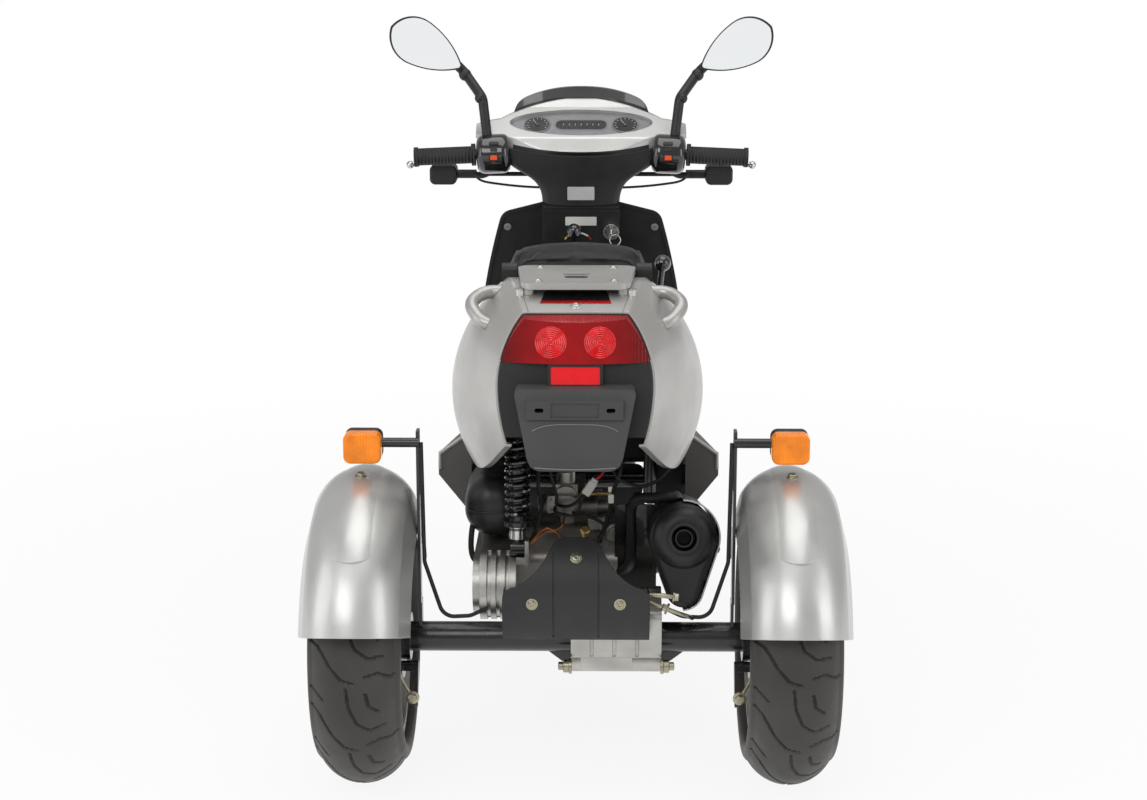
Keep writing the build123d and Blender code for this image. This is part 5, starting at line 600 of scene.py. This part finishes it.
# Tail: ribbed round reflectors in the lamp, dark patch on the tail panel, screws, posts and slot of the carrier
LAMP_Z = 788.0
rounds = Form()
for x in (-38, 38):
    place, normal = on("tail_lamp_lens", x=x, z=LAMP_Z)
    ridges = [(25.0, -2.0), (25.0, 0.8)]
    for i in range(7):
        r = 24.0 - 3.3 * i
        ridges += [(r, 1.6 + 0.25 * i), (r - 1.6, 0.5 + 0.25 * i)]
    rounds.turned(place, normal, ridges + [(0.05, 3.0)], 40)
rounds.make("lamp_rounds", LAMP_RED, "chassis", "red_lens", SMOOTH_ANGLE)
frame_ring = Form()
place, normal = on("rear_reflector", x=0, z=737)
inner, outer = box_outline(76, 27, 2), box_outline(86, 36, 3)
right, up = level_axes(normal)
loops = [[place + right * a + up * b + normal * lift for a, b in line]
         for line, lift in ((inner, -3), (inner, 1.6), (outer, 1.6), (outer, -3))]
frame_ring.rings(loops, capped=False, closed=True)
frame_ring.make("reflector_frame", MATERIALS["black_plastic"], "chassis", "black_plastic")


def draped(name, node, corners, mat, slot, lift=0.7, rows=10, columns=14):
    """Thin skin over a node seen from above, between four corners given as x and y."""
    (ax, ay), (bx, by), (cx, cy), (dx, dy) = corners
    points = []
    for i in range(rows + 1):
        t = i / rows
        for j in range(columns + 1):
            s = j / columns
            x = (ax * (1 - s) + bx * s) * (1 - t) + (dx * (1 - s) + cx * s) * t
            y = (ay * (1 - s) + by * s) * (1 - t) + (dy * (1 - s) + cy * s) * t
            place, normal = on(node, x=x, y=y)
            points.append(place + normal * lift)
    return Form().grid(points, columns + 1).make(name, mat, "chassis", slot)


draped("tail_patch", "tail_panel", ((-44, -58), (44, -58), (54, -134), (-54, -134)), GLOSS_BLACK, "black_plastic")
draped("tail_patch_edge", "tail_panel", ((-54, -134), (54, -134), (56, -143), (-56, -143)), MATERIALS["red_lens"],
       "red_lens", rows=3)
tail_screws = Form()
screw(tail_screws, *on("tail_panel", x=0, y=-152), 6.0)
for x in (-88, 88):
    tail_screws.turned((x, -108, 836), (0, 0, 1), [(9, 0), (9, 3), (6.5, 5), (6.5, 20), (8, 21.5)])
for x in (-60, 60):
    for y in (-96, 36):
        screw(tail_screws, *on("rear_rack", x=x, y=y), 4.5, 3.0)
tail_screws.make("tail_screws", MATERIALS["bright_steel"], "chassis", "bright_steel")
keyhole = Form()
place, normal = on("rear_rack", x=0, y=-58)
keyhole.plate(place - normal * 0.6, normal, box_outline(38, 15, 7.4, 8), 1.0, up=(0, 1, 0))
keyhole.make("carrier_slot", MATERIALS["rubber"], "chassis", "rubber")


# Plate carrier: pale moulded arc line between the slots and a pale line along the lower lip, both painted highlights on
# the moulded edges
arc = []
for i in range(25):
    x = -66 + 132 * i / 24
    place, normal = on("plate_carrier", x=x, z=671 - 10 * (x / 66) ** 4)
    arc.append(place + normal * 0.3)
lip = []
for i in range(21):
    x = -62 + 124 * i / 20
    place, normal = on("plate_carrier", x=x, z=609 - 3 * (1 - (x / 62) ** 2))
    lip.append(place + normal * 0.2)
# Painted highlight: the pale grey lines stand in for light caught by the arc and the lower lip
carrier_highlights = Form().swept(arc, 1.0, 6, count=1)
carrier_highlights.swept(lip, 1.0, 6, count=1)
carrier_highlights.make("carrier_highlight_lines", EDGE_GREY, "chassis", "grey_plastic")


# Axle cover screws, fender bolts and bolt ends of the gear case
bolts = Form()
for x, z in ((0, 405), (-72, 333), (72, 333)):
    place, normal = on("axle_cover", x=x, z=z)
    screw(bolts, place, normal, 6.5, 4.5)
for side in (-1, 1):
    place, normal = on("rear_fenders", x=side * 354, y=-36)
    hex_bolt(bolts, place, normal, 6.0)
for x, way in ((-9, -1), (142, 1)):
    bolts.turned((x, -60, 214), (way, 0, 0), [(13, -2), (13, 3), (11, 3.5), (11, 12), (7, 13), (7, 20), (5, 21)], 18)
bolts.make("cover_bolts", ZINC, "chassis", "bright_steel")


# Brake rods, their nuts and the adjusters beside the gear case
rods = Form()
for side in (-1, 1):
    rods.swept([(side * 294, -69, 246), (side * 297, -75, 222), (side * 285, -77, 188), (side * 272, -76, 166),
                (side * 270, -53, 157)], 3.2)
    hex_bolt(rods, (side * 271, -80, 165), (0, -1, 0), 7.0, 9.0)
rods.swept([(121, -70, 342), (140, -72, 341), (160, -70, 338)], 4.0)
rods.swept([(118, -70, 331), (150, -72, 318), (168, -72, 311), (184, -64, 303), (193, -42, 292)], 3.4)
hex_bolt(rods, (160, -70, 338), (1, 0, -0.1), 6.0, 9.0)
hex_bolt(rods, (150, -72, 318), (-1, 0, 0.4), 6.0, 9.0)
rods.make("brake_rods", ZINC, "chassis", "bright_steel")


# Engine bay: hoses, wires and connector, each end led into a part
INTAKE_HOSE = [(60, 142, 318), (82, 116, 328), (92, 90, 352), (93, 84, 400), (93, 82, 446), (104, 70, 466),
               (132, 58, 472), (160, 66, 470), (170, 98, 464), (172, 112, 446)]
DRAIN_HOSE = [(-176, 140, 420), (-182, 122, 394), (-183, 116, 362), (-176, 114, 344), (-160, 116, 346)]
WIRE_ROUTES = (
    (3.2, [(70, 138, 564), (74, 92, 536), (72, 70, 508), (62, 88, 476), (59, 98, 448), (46, 112, 402), (40, 132, 380),
           (40, 150, 360)]),
    (3.0, [(-34, 154, 436), (-38, 120, 430), (-12, 112, 424), (20, 108, 424), (44, 108, 412), (46, 112, 396),
           (38, 130, 380), (38, 150, 360)]),
    (3.0, [(18, 62, 482), (4, 76, 462), (-14, 96, 446), (-32, 122, 440), (-36, 154, 440)]),
    (2.6, [(15, 64, 480), (6, 84, 452), (0, 108, 430), (-6, 128, 424), (-12, 154, 434)]),
    (3.4, [(-62, 138, 564), (-64, 104, 522), (-66, 92, 480), (-60, 96, 450), (-66, 108, 420), (-72, 118, 396),
           (-84, 124, 366)]),
    (2.8, [(-44, 138, 564), (-46, 98, 532), (-44, 82, 505), (-36, 92, 470), (-36, 120, 444), (-36, 152, 440)]),
    (3.0, [(60, 138, 564), (58, 92, 536), (66, 72, 506), (88, 74, 492), (112, 72, 488), (138, 70, 500),
           (161, 72, 525)]),
)
hoses = Form()
hoses.swept(INTAKE_HOSE, 9.0, 14)
hoses.swept(DRAIN_HOSE, 5.0)
hoses.turned(DRAIN_HOSE[-1], (1, 0, 0.1), [(7, -6), (7, 6), (5, 8)], 12)
hoses.make("engine_hoses", MATERIALS["rubber"], "chassis", "rubber")
wires = Form()
for thick, route in WIRE_ROUTES:
    wires.swept(route, thick)
wires.make("engine_wires", MATERIALS["rubber"], "chassis", "rubber")
plug = Form()
plug.plate((14, 60, 477), (0.55, 0.0, 0.84), box_outline(15, 10, 2), 26, up=(0, 1, 0))
plug.plate((26, 60, 495), (0.55, 0.0, 0.84), box_outline(12, 8, 2), 10, up=(0, 1, 0))
plug.make("wire_connector", PALE_PLASTIC, "chassis", "clear_lens")
Form().swept([(31, 60, 503), (42, 60, 512), (54, 78, 534), (56, 138, 564)], 2.6).make(
    "red_wire", TAG_RED, "chassis", "red_lens")
coils = Form()
coils.swept([(-84, 121, 368), (-66, 116, 392), (-52, 112, 402), (-38, 114, 398), (-24, 122, 408), (-22, 154, 428)], 2.4)
coils.swept([(-84, 124, 366), (-64, 118, 388), (-48, 114, 396), (-32, 122, 390), (-30, 150, 360)], 2.0)
coils.make("copper_wires", COPPER, "chassis", "bright_steel")
Form().turned((14, 104, 398), (0, -0.7, 0.7), [(5, -52), (5, -8), (7, -8), (7, 2), (9, 2.5), (9, 8), (6, 10)], 16).make(
    "brass_fitting", BRASS, "chassis", "bright_steel")


# Carburettor body, covers and fuel pipe
bright = Form()
bright.plate((-29, 150, 438), (0, -1, 0), box_outline(48, 30, 6), 14)
bright.turned((-29, 136, 432), (0, -1, 0), [(8, 0), (8, 5), (5, 7)], 18)
bright.turned((66, 150, 384), (0, -1, 0), [(17, 0), (17, 6), (13, 8), (13, 14), (6, 15)], 24)
bright.plate((58, 92, 468), (0, -1, 0), box_outline(10, 30, 2), 4)
bright.plate((34, 150, 404), (0, -1, 0), box_outline(30, 22, 5), 16)
for x, z in ((-48, 448), (-10, 448), (-48, 427), (-10, 427), (26, 410), (42, 398)):
    screw(bright, (x, 134, z), (0, -1, 0), 3.2, 3.0)
bright.make("carburettor_trim", MATERIALS["cast_aluminium"], "chassis", "cast_aluminium")
Form().swept([(-14, 156, 446), (4, 118, 458), (20, 96, 468), (36, 90, 470), (59, 90, 471)], 3.2).make(
    "fuel_pipe", BRASS, "chassis", "bright_steel")


# Black bracket between the engine and the silencer
Form().plate((101, 126, 361), (0, -1, 0), box_outline(72, 162, 8), 4).make(
    "silencer_bracket", MATERIALS["black_metal"], "chassis", "black_metal")


# Lighter rear edges of the skirts
edges = Form()
for side in (-1, 1):
    edges.swept([(side * 200, 373, 508), (side * 254, 373, 469), (side * 254, 373, 440)], 4.0, count=1)
edges.make("skirt_edges", PANEL_SILVER, "chassis", "silver_paint")


# Black gap round the tail lens, and painted shade darkening its ends
LENS_REACH = 220.0
LENS_LOW_CORNER = math.radians(194.5)
LENS_TURN = math.radians(209.0)
LENS_STEPS = 120


def lens_shows(x, z):
    """Whether the tail lens is the first thing met from behind at this place."""
    depths = {}
    for node in ("tail_lamp_lens", "side_panels", "tail_panel"):
        found, place, _, _ = frame["nodes"][node].ray_cast(spot(x, -900, z), Vector((0, 1, 0)))
        depths[node] = place.y if found else math.inf
    return depths["tail_lamp_lens"] < min(depths["side_panels"], depths["tail_panel"])


def lens_edge(angle):
    """Last place where the lens shows, on the way out from its middle."""
    across, rise = math.cos(angle), math.sin(angle)
    near, far = 0.0, LENS_REACH
    for _ in range(20):
        middle = (near + far) / 2
        shows = lens_shows(middle * across, LAMP_Z + middle * rise)
        near, far = (middle, far) if shows else (near, middle)
    return on("tail_lamp_lens", x=near * across, z=LAMP_Z + near * rise)[0]


def shade_lens_ends(mat, near, far, least):
    """Darkens a material's colour between two distances from the middle plane, in metres, as painted shade."""
    tree = mat.node_tree
    colour = tree.nodes["Principled BSDF"].inputs["Base Color"]
    split = tree.nodes.new("ShaderNodeSeparateXYZ")
    apart = tree.nodes.new("ShaderNodeMath")
    apart.operation = "ABSOLUTE"
    share = tree.nodes.new("ShaderNodeMapRange")
    for key, value in (("From Min", near), ("From Max", far), ("To Min", 1.0), ("To Max", least)):
        share.inputs[key].default_value = value
    painted_shade = tree.nodes.new("ShaderNodeHueSaturation")
    tree.links.new(colour.links[0].from_socket, painted_shade.inputs["Color"])
    tree.links.new(tree.nodes.new("ShaderNodeTexCoord").outputs["Object"], split.inputs[0])
    tree.links.new(split.outputs["X"], apart.inputs[0])
    tree.links.new(apart.outputs[0], share.inputs["Value"])
    tree.links.new(share.outputs["Result"], painted_shade.inputs["Value"])
    tree.links.new(painted_shade.outputs["Color"], colour)


gap = [lens_edge(LENS_LOW_CORNER - LENS_TURN * i / LENS_STEPS) for i in range(LENS_STEPS + 1)]
Form().swept(gap, 1.9, 8, count=1).make("lens_gap", MATERIALS["black_plastic"], "chassis", "black_plastic")
# Painted shade: the tail lens colour is darkened towards both ends
shade_lens_ends(MATERIALS["red_lens"], 0.05, 0.112, 0.25)


# Silencer strap bolts and the seam round the air filter
strap = Form()
for y, z in ((20, 392), (60, 330)):
    place, normal = on("muffler_shield", y=y, z=z)
    screw(strap, place, normal, 4.5, 4.0)
strap.make("strap_bolts", MATERIALS["black_metal"], "chassis", "black_metal")
seam = []
for i in range(28):
    x = -186 + 88 * i / 27
    place, normal = on("air_filter_box", x=x, z=434)
    seam.append(place + normal * 0.4)
Form().swept(seam, 1.8, 8, count=1).make("filter_seam", MATERIALS["black_plastic"], "chassis", "black_plastic")


# Instrument panel: two gauges and a display without figures
rims, dials, marks = Form(), Form(), Form()
for x in (-90, 90):
    place, normal = on("instrument_panel", x=x, y=962)
    rims.turned(place, normal, [(27.5, -2), (27.5, 1.4), (25.5, 2.2), (24.5, 0.8), (24.5, -2)], 40)
    dials.turned(place, normal, [(24.4, -1), (24.4, 0.9), (4, 0.9), (4, 2.6), (3, 3.2)], 36)
    right, up = level_axes(normal)
    for k in range(11):
        t = math.radians(-30 + 24 * k)
        way = right * math.cos(t) + up * math.sin(t)
        start = place + normal * 1.1
        marks.swept([start + way * 18, start + way * 22.5], 0.55, 6)
    marks.swept([place + normal * 1.8, place + normal * 1.8 + (up - right * 0.6) * 15], 0.6, 6)
place, normal = on("instrument_panel", x=0, y=962)
dials.plate(place - normal, normal, box_outline(104, 30, 14, 8), 1.8)
rims.plate(place - normal, normal, box_outline(110, 36, 17, 8), 1.3)
right, up = level_axes(normal)
for k in range(7):
    start = place + normal * 0.9 + right * (-36 + 12 * k)
    marks.swept([start - up * 3, start + up * 3], 0.6, 6)
rims.make("gauge_rims", EDGE_GREY, "steering", "grey_plastic")
dials.make("gauge_dials", GLOSS_BLACK, "steering", "smoked_screen")
marks.make("gauge_marks", PALE_PLASTIC, "steering", "clear_lens")


# Handlebar cowl: smooth lower edge of the silver band, and a smooth crescent for the flyscreen
def skin(name, nodes, half, low, high, mat, slot, lift, columns=60, rows=5):
    """Thin skin over the rearmost of some nodes, between two heights that depend on x."""
    points = []
    for i in range(rows + 1):
        for j in range(columns + 1):
            x = half * (2 * j / columns - 1)
            z = low(x) + (high(x) - low(x)) * i / rows
            hits = []
            for node in nodes:
                try:
                    hits.append(on(node, x=x, z=z)[0])
                except ValueError:
                    continue
            place = min(hits, key=lambda p: p.y)
            points.append(place + Vector((0, -lift, 0)))
    return Form().grid(points, columns + 1).make(name, mat, "steering", slot, SMOOTH_ANGLE)


BAND_HALF = 138.0


def band_edge(x):
    return 966.0 + 15.0 * (x / 141.0) ** 2


skin("band_lower_edge", ("handlebar_cowl", "handlebar_cover_lower"), BAND_HALF, lambda x: band_edge(x) - 11,
     band_edge, MATERIALS["black_plastic"], "black_plastic", 1.2)
skin("band_upper_edge", ("handlebar_cowl", "handlebar_cover_lower"), BAND_HALF, band_edge,
     lambda x: band_edge(x) + 9, MATERIALS["silver_paint"], "silver_paint", 1.2)
SCREEN_HALF = 142.0
SCREEN_SWEEP = 226.0
SCREEN_MIDDLE_Y = 822.0
SCREEN_STEPS = 80
SCREEN_LOW_Z = 1061.0
SCREEN_HIGH_Z = 1087.5
SCREEN_WALL = ((0.0, 0.0), (0.5, 0.0), (0.94, 0.0), (1.0, -1.5), (0.94, -3.0), (0.5, -3.0), (0.0, -3.0))
screen = Form()
rows = []
for i in range(SCREEN_STEPS + 1):
    u = math.sin(math.pi / 2 * (-1 + 2 * i / SCREEN_STEPS))
    x = (SCREEN_HALF - 3.0) * u
    low = SCREEN_LOW_Z - 24 * abs(u) ** 1.7
    high = low + (SCREEN_HIGH_Z - 30 * abs(u) ** 2.3 - low) * (1 - abs(u) ** 24) + 0.6
    out = math.sqrt(SCREEN_SWEEP ** 2 - x * x)
    edge = []
    for part, thick in SCREEN_WALL:
        reach = (out + thick) / out
        edge.append((x * reach, SCREEN_MIDDLE_Y + out * reach, low + (high - low) * part))
    rows.append(edge)
screen.rings(rows)
screen.make("screen_crescent", MATERIALS["smoked_screen"], "steering", "smoked_screen", replaces=("flyscreen",))


# Switches on the housings
keys, bezels = Form(), Form()
for x in (-176, 176):
    place, normal = on("switch_housings", x=x, z=957)
    bezels.plate(place - normal * 2, normal, box_outline(19, 14, 2.5), 3.2)
    keys.plate(place - normal * 2, normal, box_outline(14, 9.5, 1.5), 5.4)
    for z, wide in ((972, 15), (984, 20)):
        place, normal = on("switch_housings", x=x, z=z)
        bezels.plate(place - normal * 2, normal, box_outline(wide, 7, 3), 4.6)
keys.make("switch_keys", SWITCH_ORANGE, "steering", "amber_lens")
bezels.make("switch_bezels", MATERIALS["black_plastic"], "steering", "black_plastic")


# Blank plate on the steering neck, blank label, gear arc, key with ring and tag on the leg shield
place, normal = on("handlebar_cover_lower", x=0, z=881)
neck_plate = Form().plate(place - normal * 1.5, normal, box_outline(55, 28, 2), 2.4)
neck_plate.make("neck_plate", PLATE_SILVER, "steering", "bright_steel")
place, normal = on("inner_leg_shield", x=0, z=823)
shield_label = Form().plate(place - normal * 1.5, normal, box_outline(64, 19, 1.5), 2.2)
shield_label.make("shield_label", PALE_PLASTIC, "chassis", "clear_lens")


def gate(first, last, name, mat, slot):
    """Part of the gear lever's arc on the leg shield, between two angles."""
    line = []
    for i in range(13):
        t = math.radians(first + (last - first) * i / 12)
        place, normal = on("inner_leg_shield", x=-6 + 32 * math.cos(t), z=768 + 30 * math.sin(t))
        line.append(place + normal * 0.8)
    Form().swept(line, 1.9, 8, count=1).make(name, mat, "chassis", slot)


gate(50, 130, "gear_arc", PALE_PLASTIC, "clear_lens")
gate(134, 146, "gear_arc_left", MARK_YELLOW, "amber_lens")
gate(34, 46, "gear_arc_right", TAG_RED, "red_lens")
low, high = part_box("ignition_lock")
lock_x, lock_z = (low.x + high.x) * 500, (low.z + high.z) * 500
lock_y = (low.y - AXLE_Y) * 1000
key = Form()
key.plate((lock_x, lock_y + 2, lock_z), (0, -1, 0), box_outline(2.4, 9, 1), 16)
key.turned((lock_x - 1.3, lock_y - 20, lock_z), (1, 0, 0), [(10, 0), (11, 0.6), (11, 2.0), (10, 2.6)], 20)
ring = [(lock_x + 8 + 11 * math.sin(t), lock_y - 24, lock_z - 13 + 11 * math.cos(t))
        for t in [2 * math.pi * i / 28 for i in range(28)]]
key.swept(ring, 1.1, 8, closed=True)
key.make("key_and_ring", MATERIALS["bright_steel"], "chassis", "bright_steel")
tag = Form()
tag.plate((lock_x + 10, lock_y - 22, lock_z - 36), (0.2, -1, 0), box_outline(13, 26, 3), 2.0)
tag.make("key_tag", TAG_RED, "chassis", "red_lens")
bosses = Form()
for x in (-152, 152):
    place, normal = on("inner_leg_shield", x=x, z=806)
    bosses.turned(place - normal * 2, normal, [(8, 0), (8, 4), (6.5, 5.6), (3, 6), (3, 4.6), (0.05, 4.6)], 20)
bosses.make("shield_bosses", EDGE_GREY, "chassis", "grey_plastic")


# Rubber collar that closes the slit below the turning neck
RAKE = math.radians(26)
STEER_UP = Vector((0, -math.sin(RAKE), math.cos(RAKE)))
NECK_MIDDLE = Vector((0, 966, 881.4))
collar = Form()
collar.plate(NECK_MIDDLE - STEER_UP * 8.0, STEER_UP, box_outline(158, 128, 12, 6), 6.6, up=(0, 1, 0))
collar.make("neck_collar", MATERIALS["rubber"], "chassis", "rubber")


# Fan cowl on the crankcase and the wings of the splash guard
cowl = Form()
cowl.turned((97, 262, 338), (1, 0, 0), [(70, 0), (84, 3), (86, 14), (80, 22), (40, 22.5), (38, 17), (0.05, 17)], 40)
cowl.make("fan_cowl", SATIN_BLACK, "chassis", "black_plastic")
wings = Form()
for side in (-1, 1):
    wings.plate((side * 166, 524, 372), (0, -1, 0), box_outline(80, 78, 6), 4)
wings.make("guard_wings", MATERIALS["black_plastic"], "chassis", "black_plastic")


# Knuckles of the mirror stems
joints = Form()
for side in (-1, 1):
    for x, z, r in ((205, 1072, 11), (238, 1116, 13)):
        place, _ = on("mirror_housings", x=side * x, z=z)
        ball = [(max(r * math.sin(math.pi * i / 10), 0.05), -r * math.cos(math.pi * i / 10)) for i in range(11)]
        joints.turned(place + Vector((0, 7, 0)), (side * 0.55, 0, 0.83), ball, 20)
joints.make("mirror_joints", MATERIALS["black_plastic"], "steering", "black_plastic")


# Lamp wires at the front indicators
lamp_wires = Form()
for side in (-1, 1):
    lamp_wires.swept([(side * 222, 966, 914), (side * 206, 958, 908), (side * 190, 950, 914), (side * 182, 942, 926),
                      (side * 190, 934, 936)], 2.6)
    lamp_wires.swept([(side * 224, 968, 916), (side * 206, 968, 900), (side * 170, 968, 893), (side * 120, 966, 888),
                      (side * 74, 964, 886)], 2.4)
lamp_wires.make("lamp_wires", MATERIALS["rubber"], "steering", "rubber")


# Stage: pale floor and backdrop, soft lamps, the photograph's camera
def seen_directly(nodes, links):
    """One for rays from the camera and for what is mirrored, zero for rays that only light the object."""
    path = nodes.new("ShaderNodeLightPath")
    either = nodes.new("ShaderNodeMath")
    either.operation = "MAXIMUM"
    links.new(path.outputs["Is Camera Ray"], either.inputs[0])
    links.new(path.outputs["Is Glossy Ray"], either.inputs[1])
    return either.outputs[0]


def add_floor():
    size = 14.0
    mesh = bpy.data.meshes.new("floor")
    mesh.from_pydata([(-size, -size, 0), (size, -size, 0), (size, size, 0), (-size, size, 0)], [], [(0, 1, 2, 3)])
    floor = bpy.data.objects.new("floor", mesh)
    bpy.context.scene.collection.objects.link(floor)
    mat = surface("floor_paper", (0.80, 0.80, 0.80), 0.85, 0.0, 0.01, 1.0, 60.0, 0.0002, edge=0)
    nodes, links = mat.node_tree.nodes, mat.node_tree.links
    paper = nodes["Principled BSDF"]
    glow = nodes.new("ShaderNodeEmission")
    glow.inputs["Color"].default_value = (1.0, 1.0, 1.0, 1.0)
    glow.inputs["Strength"].default_value = 1.0
    coords = nodes.new("ShaderNodeTexCoord")
    length = nodes.new("ShaderNodeVectorMath")
    length.operation = "LENGTH"
    links.new(coords.outputs["Object"], length.inputs[0])
    fade = nodes.new("ShaderNodeMapRange")
    fade.inputs["From Min"].default_value = 0.4
    fade.inputs["From Max"].default_value = 2.6
    fade.inputs["To Min"].default_value = 0.88
    fade.inputs["To Max"].default_value = 1.0
    links.new(length.outputs["Value"], fade.inputs["Value"])
    share = nodes.new("ShaderNodeMath")
    share.operation = "MULTIPLY"
    links.new(fade.outputs["Result"], share.inputs[0])
    links.new(seen_directly(nodes, links), share.inputs[1])
    blend = nodes.new("ShaderNodeMixShader")
    links.new(share.outputs[0], blend.inputs["Fac"])
    links.new(paper.outputs[0], blend.inputs[1])
    links.new(glow.outputs[0], blend.inputs[2])
    links.new(blend.outputs[0], nodes["Material Output"].inputs["Surface"])
    mesh.materials.append(mat)


def add_world():
    world = bpy.data.worlds.new("studio")
    bpy.context.scene.world = world
    world.use_nodes = True
    nodes, links = world.node_tree.nodes, world.node_tree.links
    lit = nodes["Background"]
    lit.inputs["Color"].default_value = (1.0, 1.0, 1.0, 1.0)
    lit.inputs["Strength"].default_value = 0.42
    seen = nodes.new("ShaderNodeBackground")
    seen.inputs["Color"].default_value = (1.0, 1.0, 1.0, 1.0)
    seen.inputs["Strength"].default_value = 1.0
    path = nodes.new("ShaderNodeLightPath")
    blend = nodes.new("ShaderNodeMixShader")
    links.new(path.outputs["Is Camera Ray"], blend.inputs["Fac"])
    links.new(lit.outputs[0], blend.inputs[1])
    links.new(seen.outputs[0], blend.inputs[2])
    links.new(blend.outputs[0], nodes["World Output"].inputs["Surface"])


def add_area_lamp(name, place, aim, size, watts):
    lamp = bpy.data.lights.new(name, "AREA")
    lamp.shape = "RECTANGLE"
    lamp.size, lamp.size_y = size
    lamp.energy = watts
    obj = bpy.data.objects.new(name, lamp)
    obj.location = place
    obj.rotation_euler = (Vector(aim) - Vector(place)).to_track_quat("-Z", "Y").to_euler()
    bpy.context.scene.collection.objects.link(obj)


def add_camera():
    camera = bpy.data.cameras.new("photo_camera")
    camera.sensor_width = SENSOR_MM
    camera.lens = FOCAL_PIXELS / IMAGE_WIDTH * SENSOR_MM
    obj = bpy.data.objects.new("photo_camera", camera)
    obj.location = (CAMERA_X, AXLE_Y - CAMERA_BEHIND_AXLE, CAMERA_HEIGHT)
    obj.rotation_euler = (math.radians(90 - CAMERA_PITCH), 0, math.radians(CAMERA_YAW))
    bpy.context.scene.collection.objects.link(obj)
    bpy.context.scene.camera = obj


add_floor()
add_world()
add_area_lamp("key", (-1.4, -4.0, 3.2), (0, AXLE_Y, 0.6), (2.6, 2.0), 55)
add_area_lamp("top", (0.2, -0.4, 4.2), (0, -0.3, 0.5), (3.2, 3.2), 60)
add_area_lamp("right", (3.2, -2.2, 1.8), (0, -0.4, 0.6), (1.8, 2.4), 28)
add_area_lamp("left", (-3.2, -1.6, 1.6), (0, -0.4, 0.6), (1.8, 2.4), 22)
add_camera()
bpy.context.scene.view_settings.view_transform = "Standard"
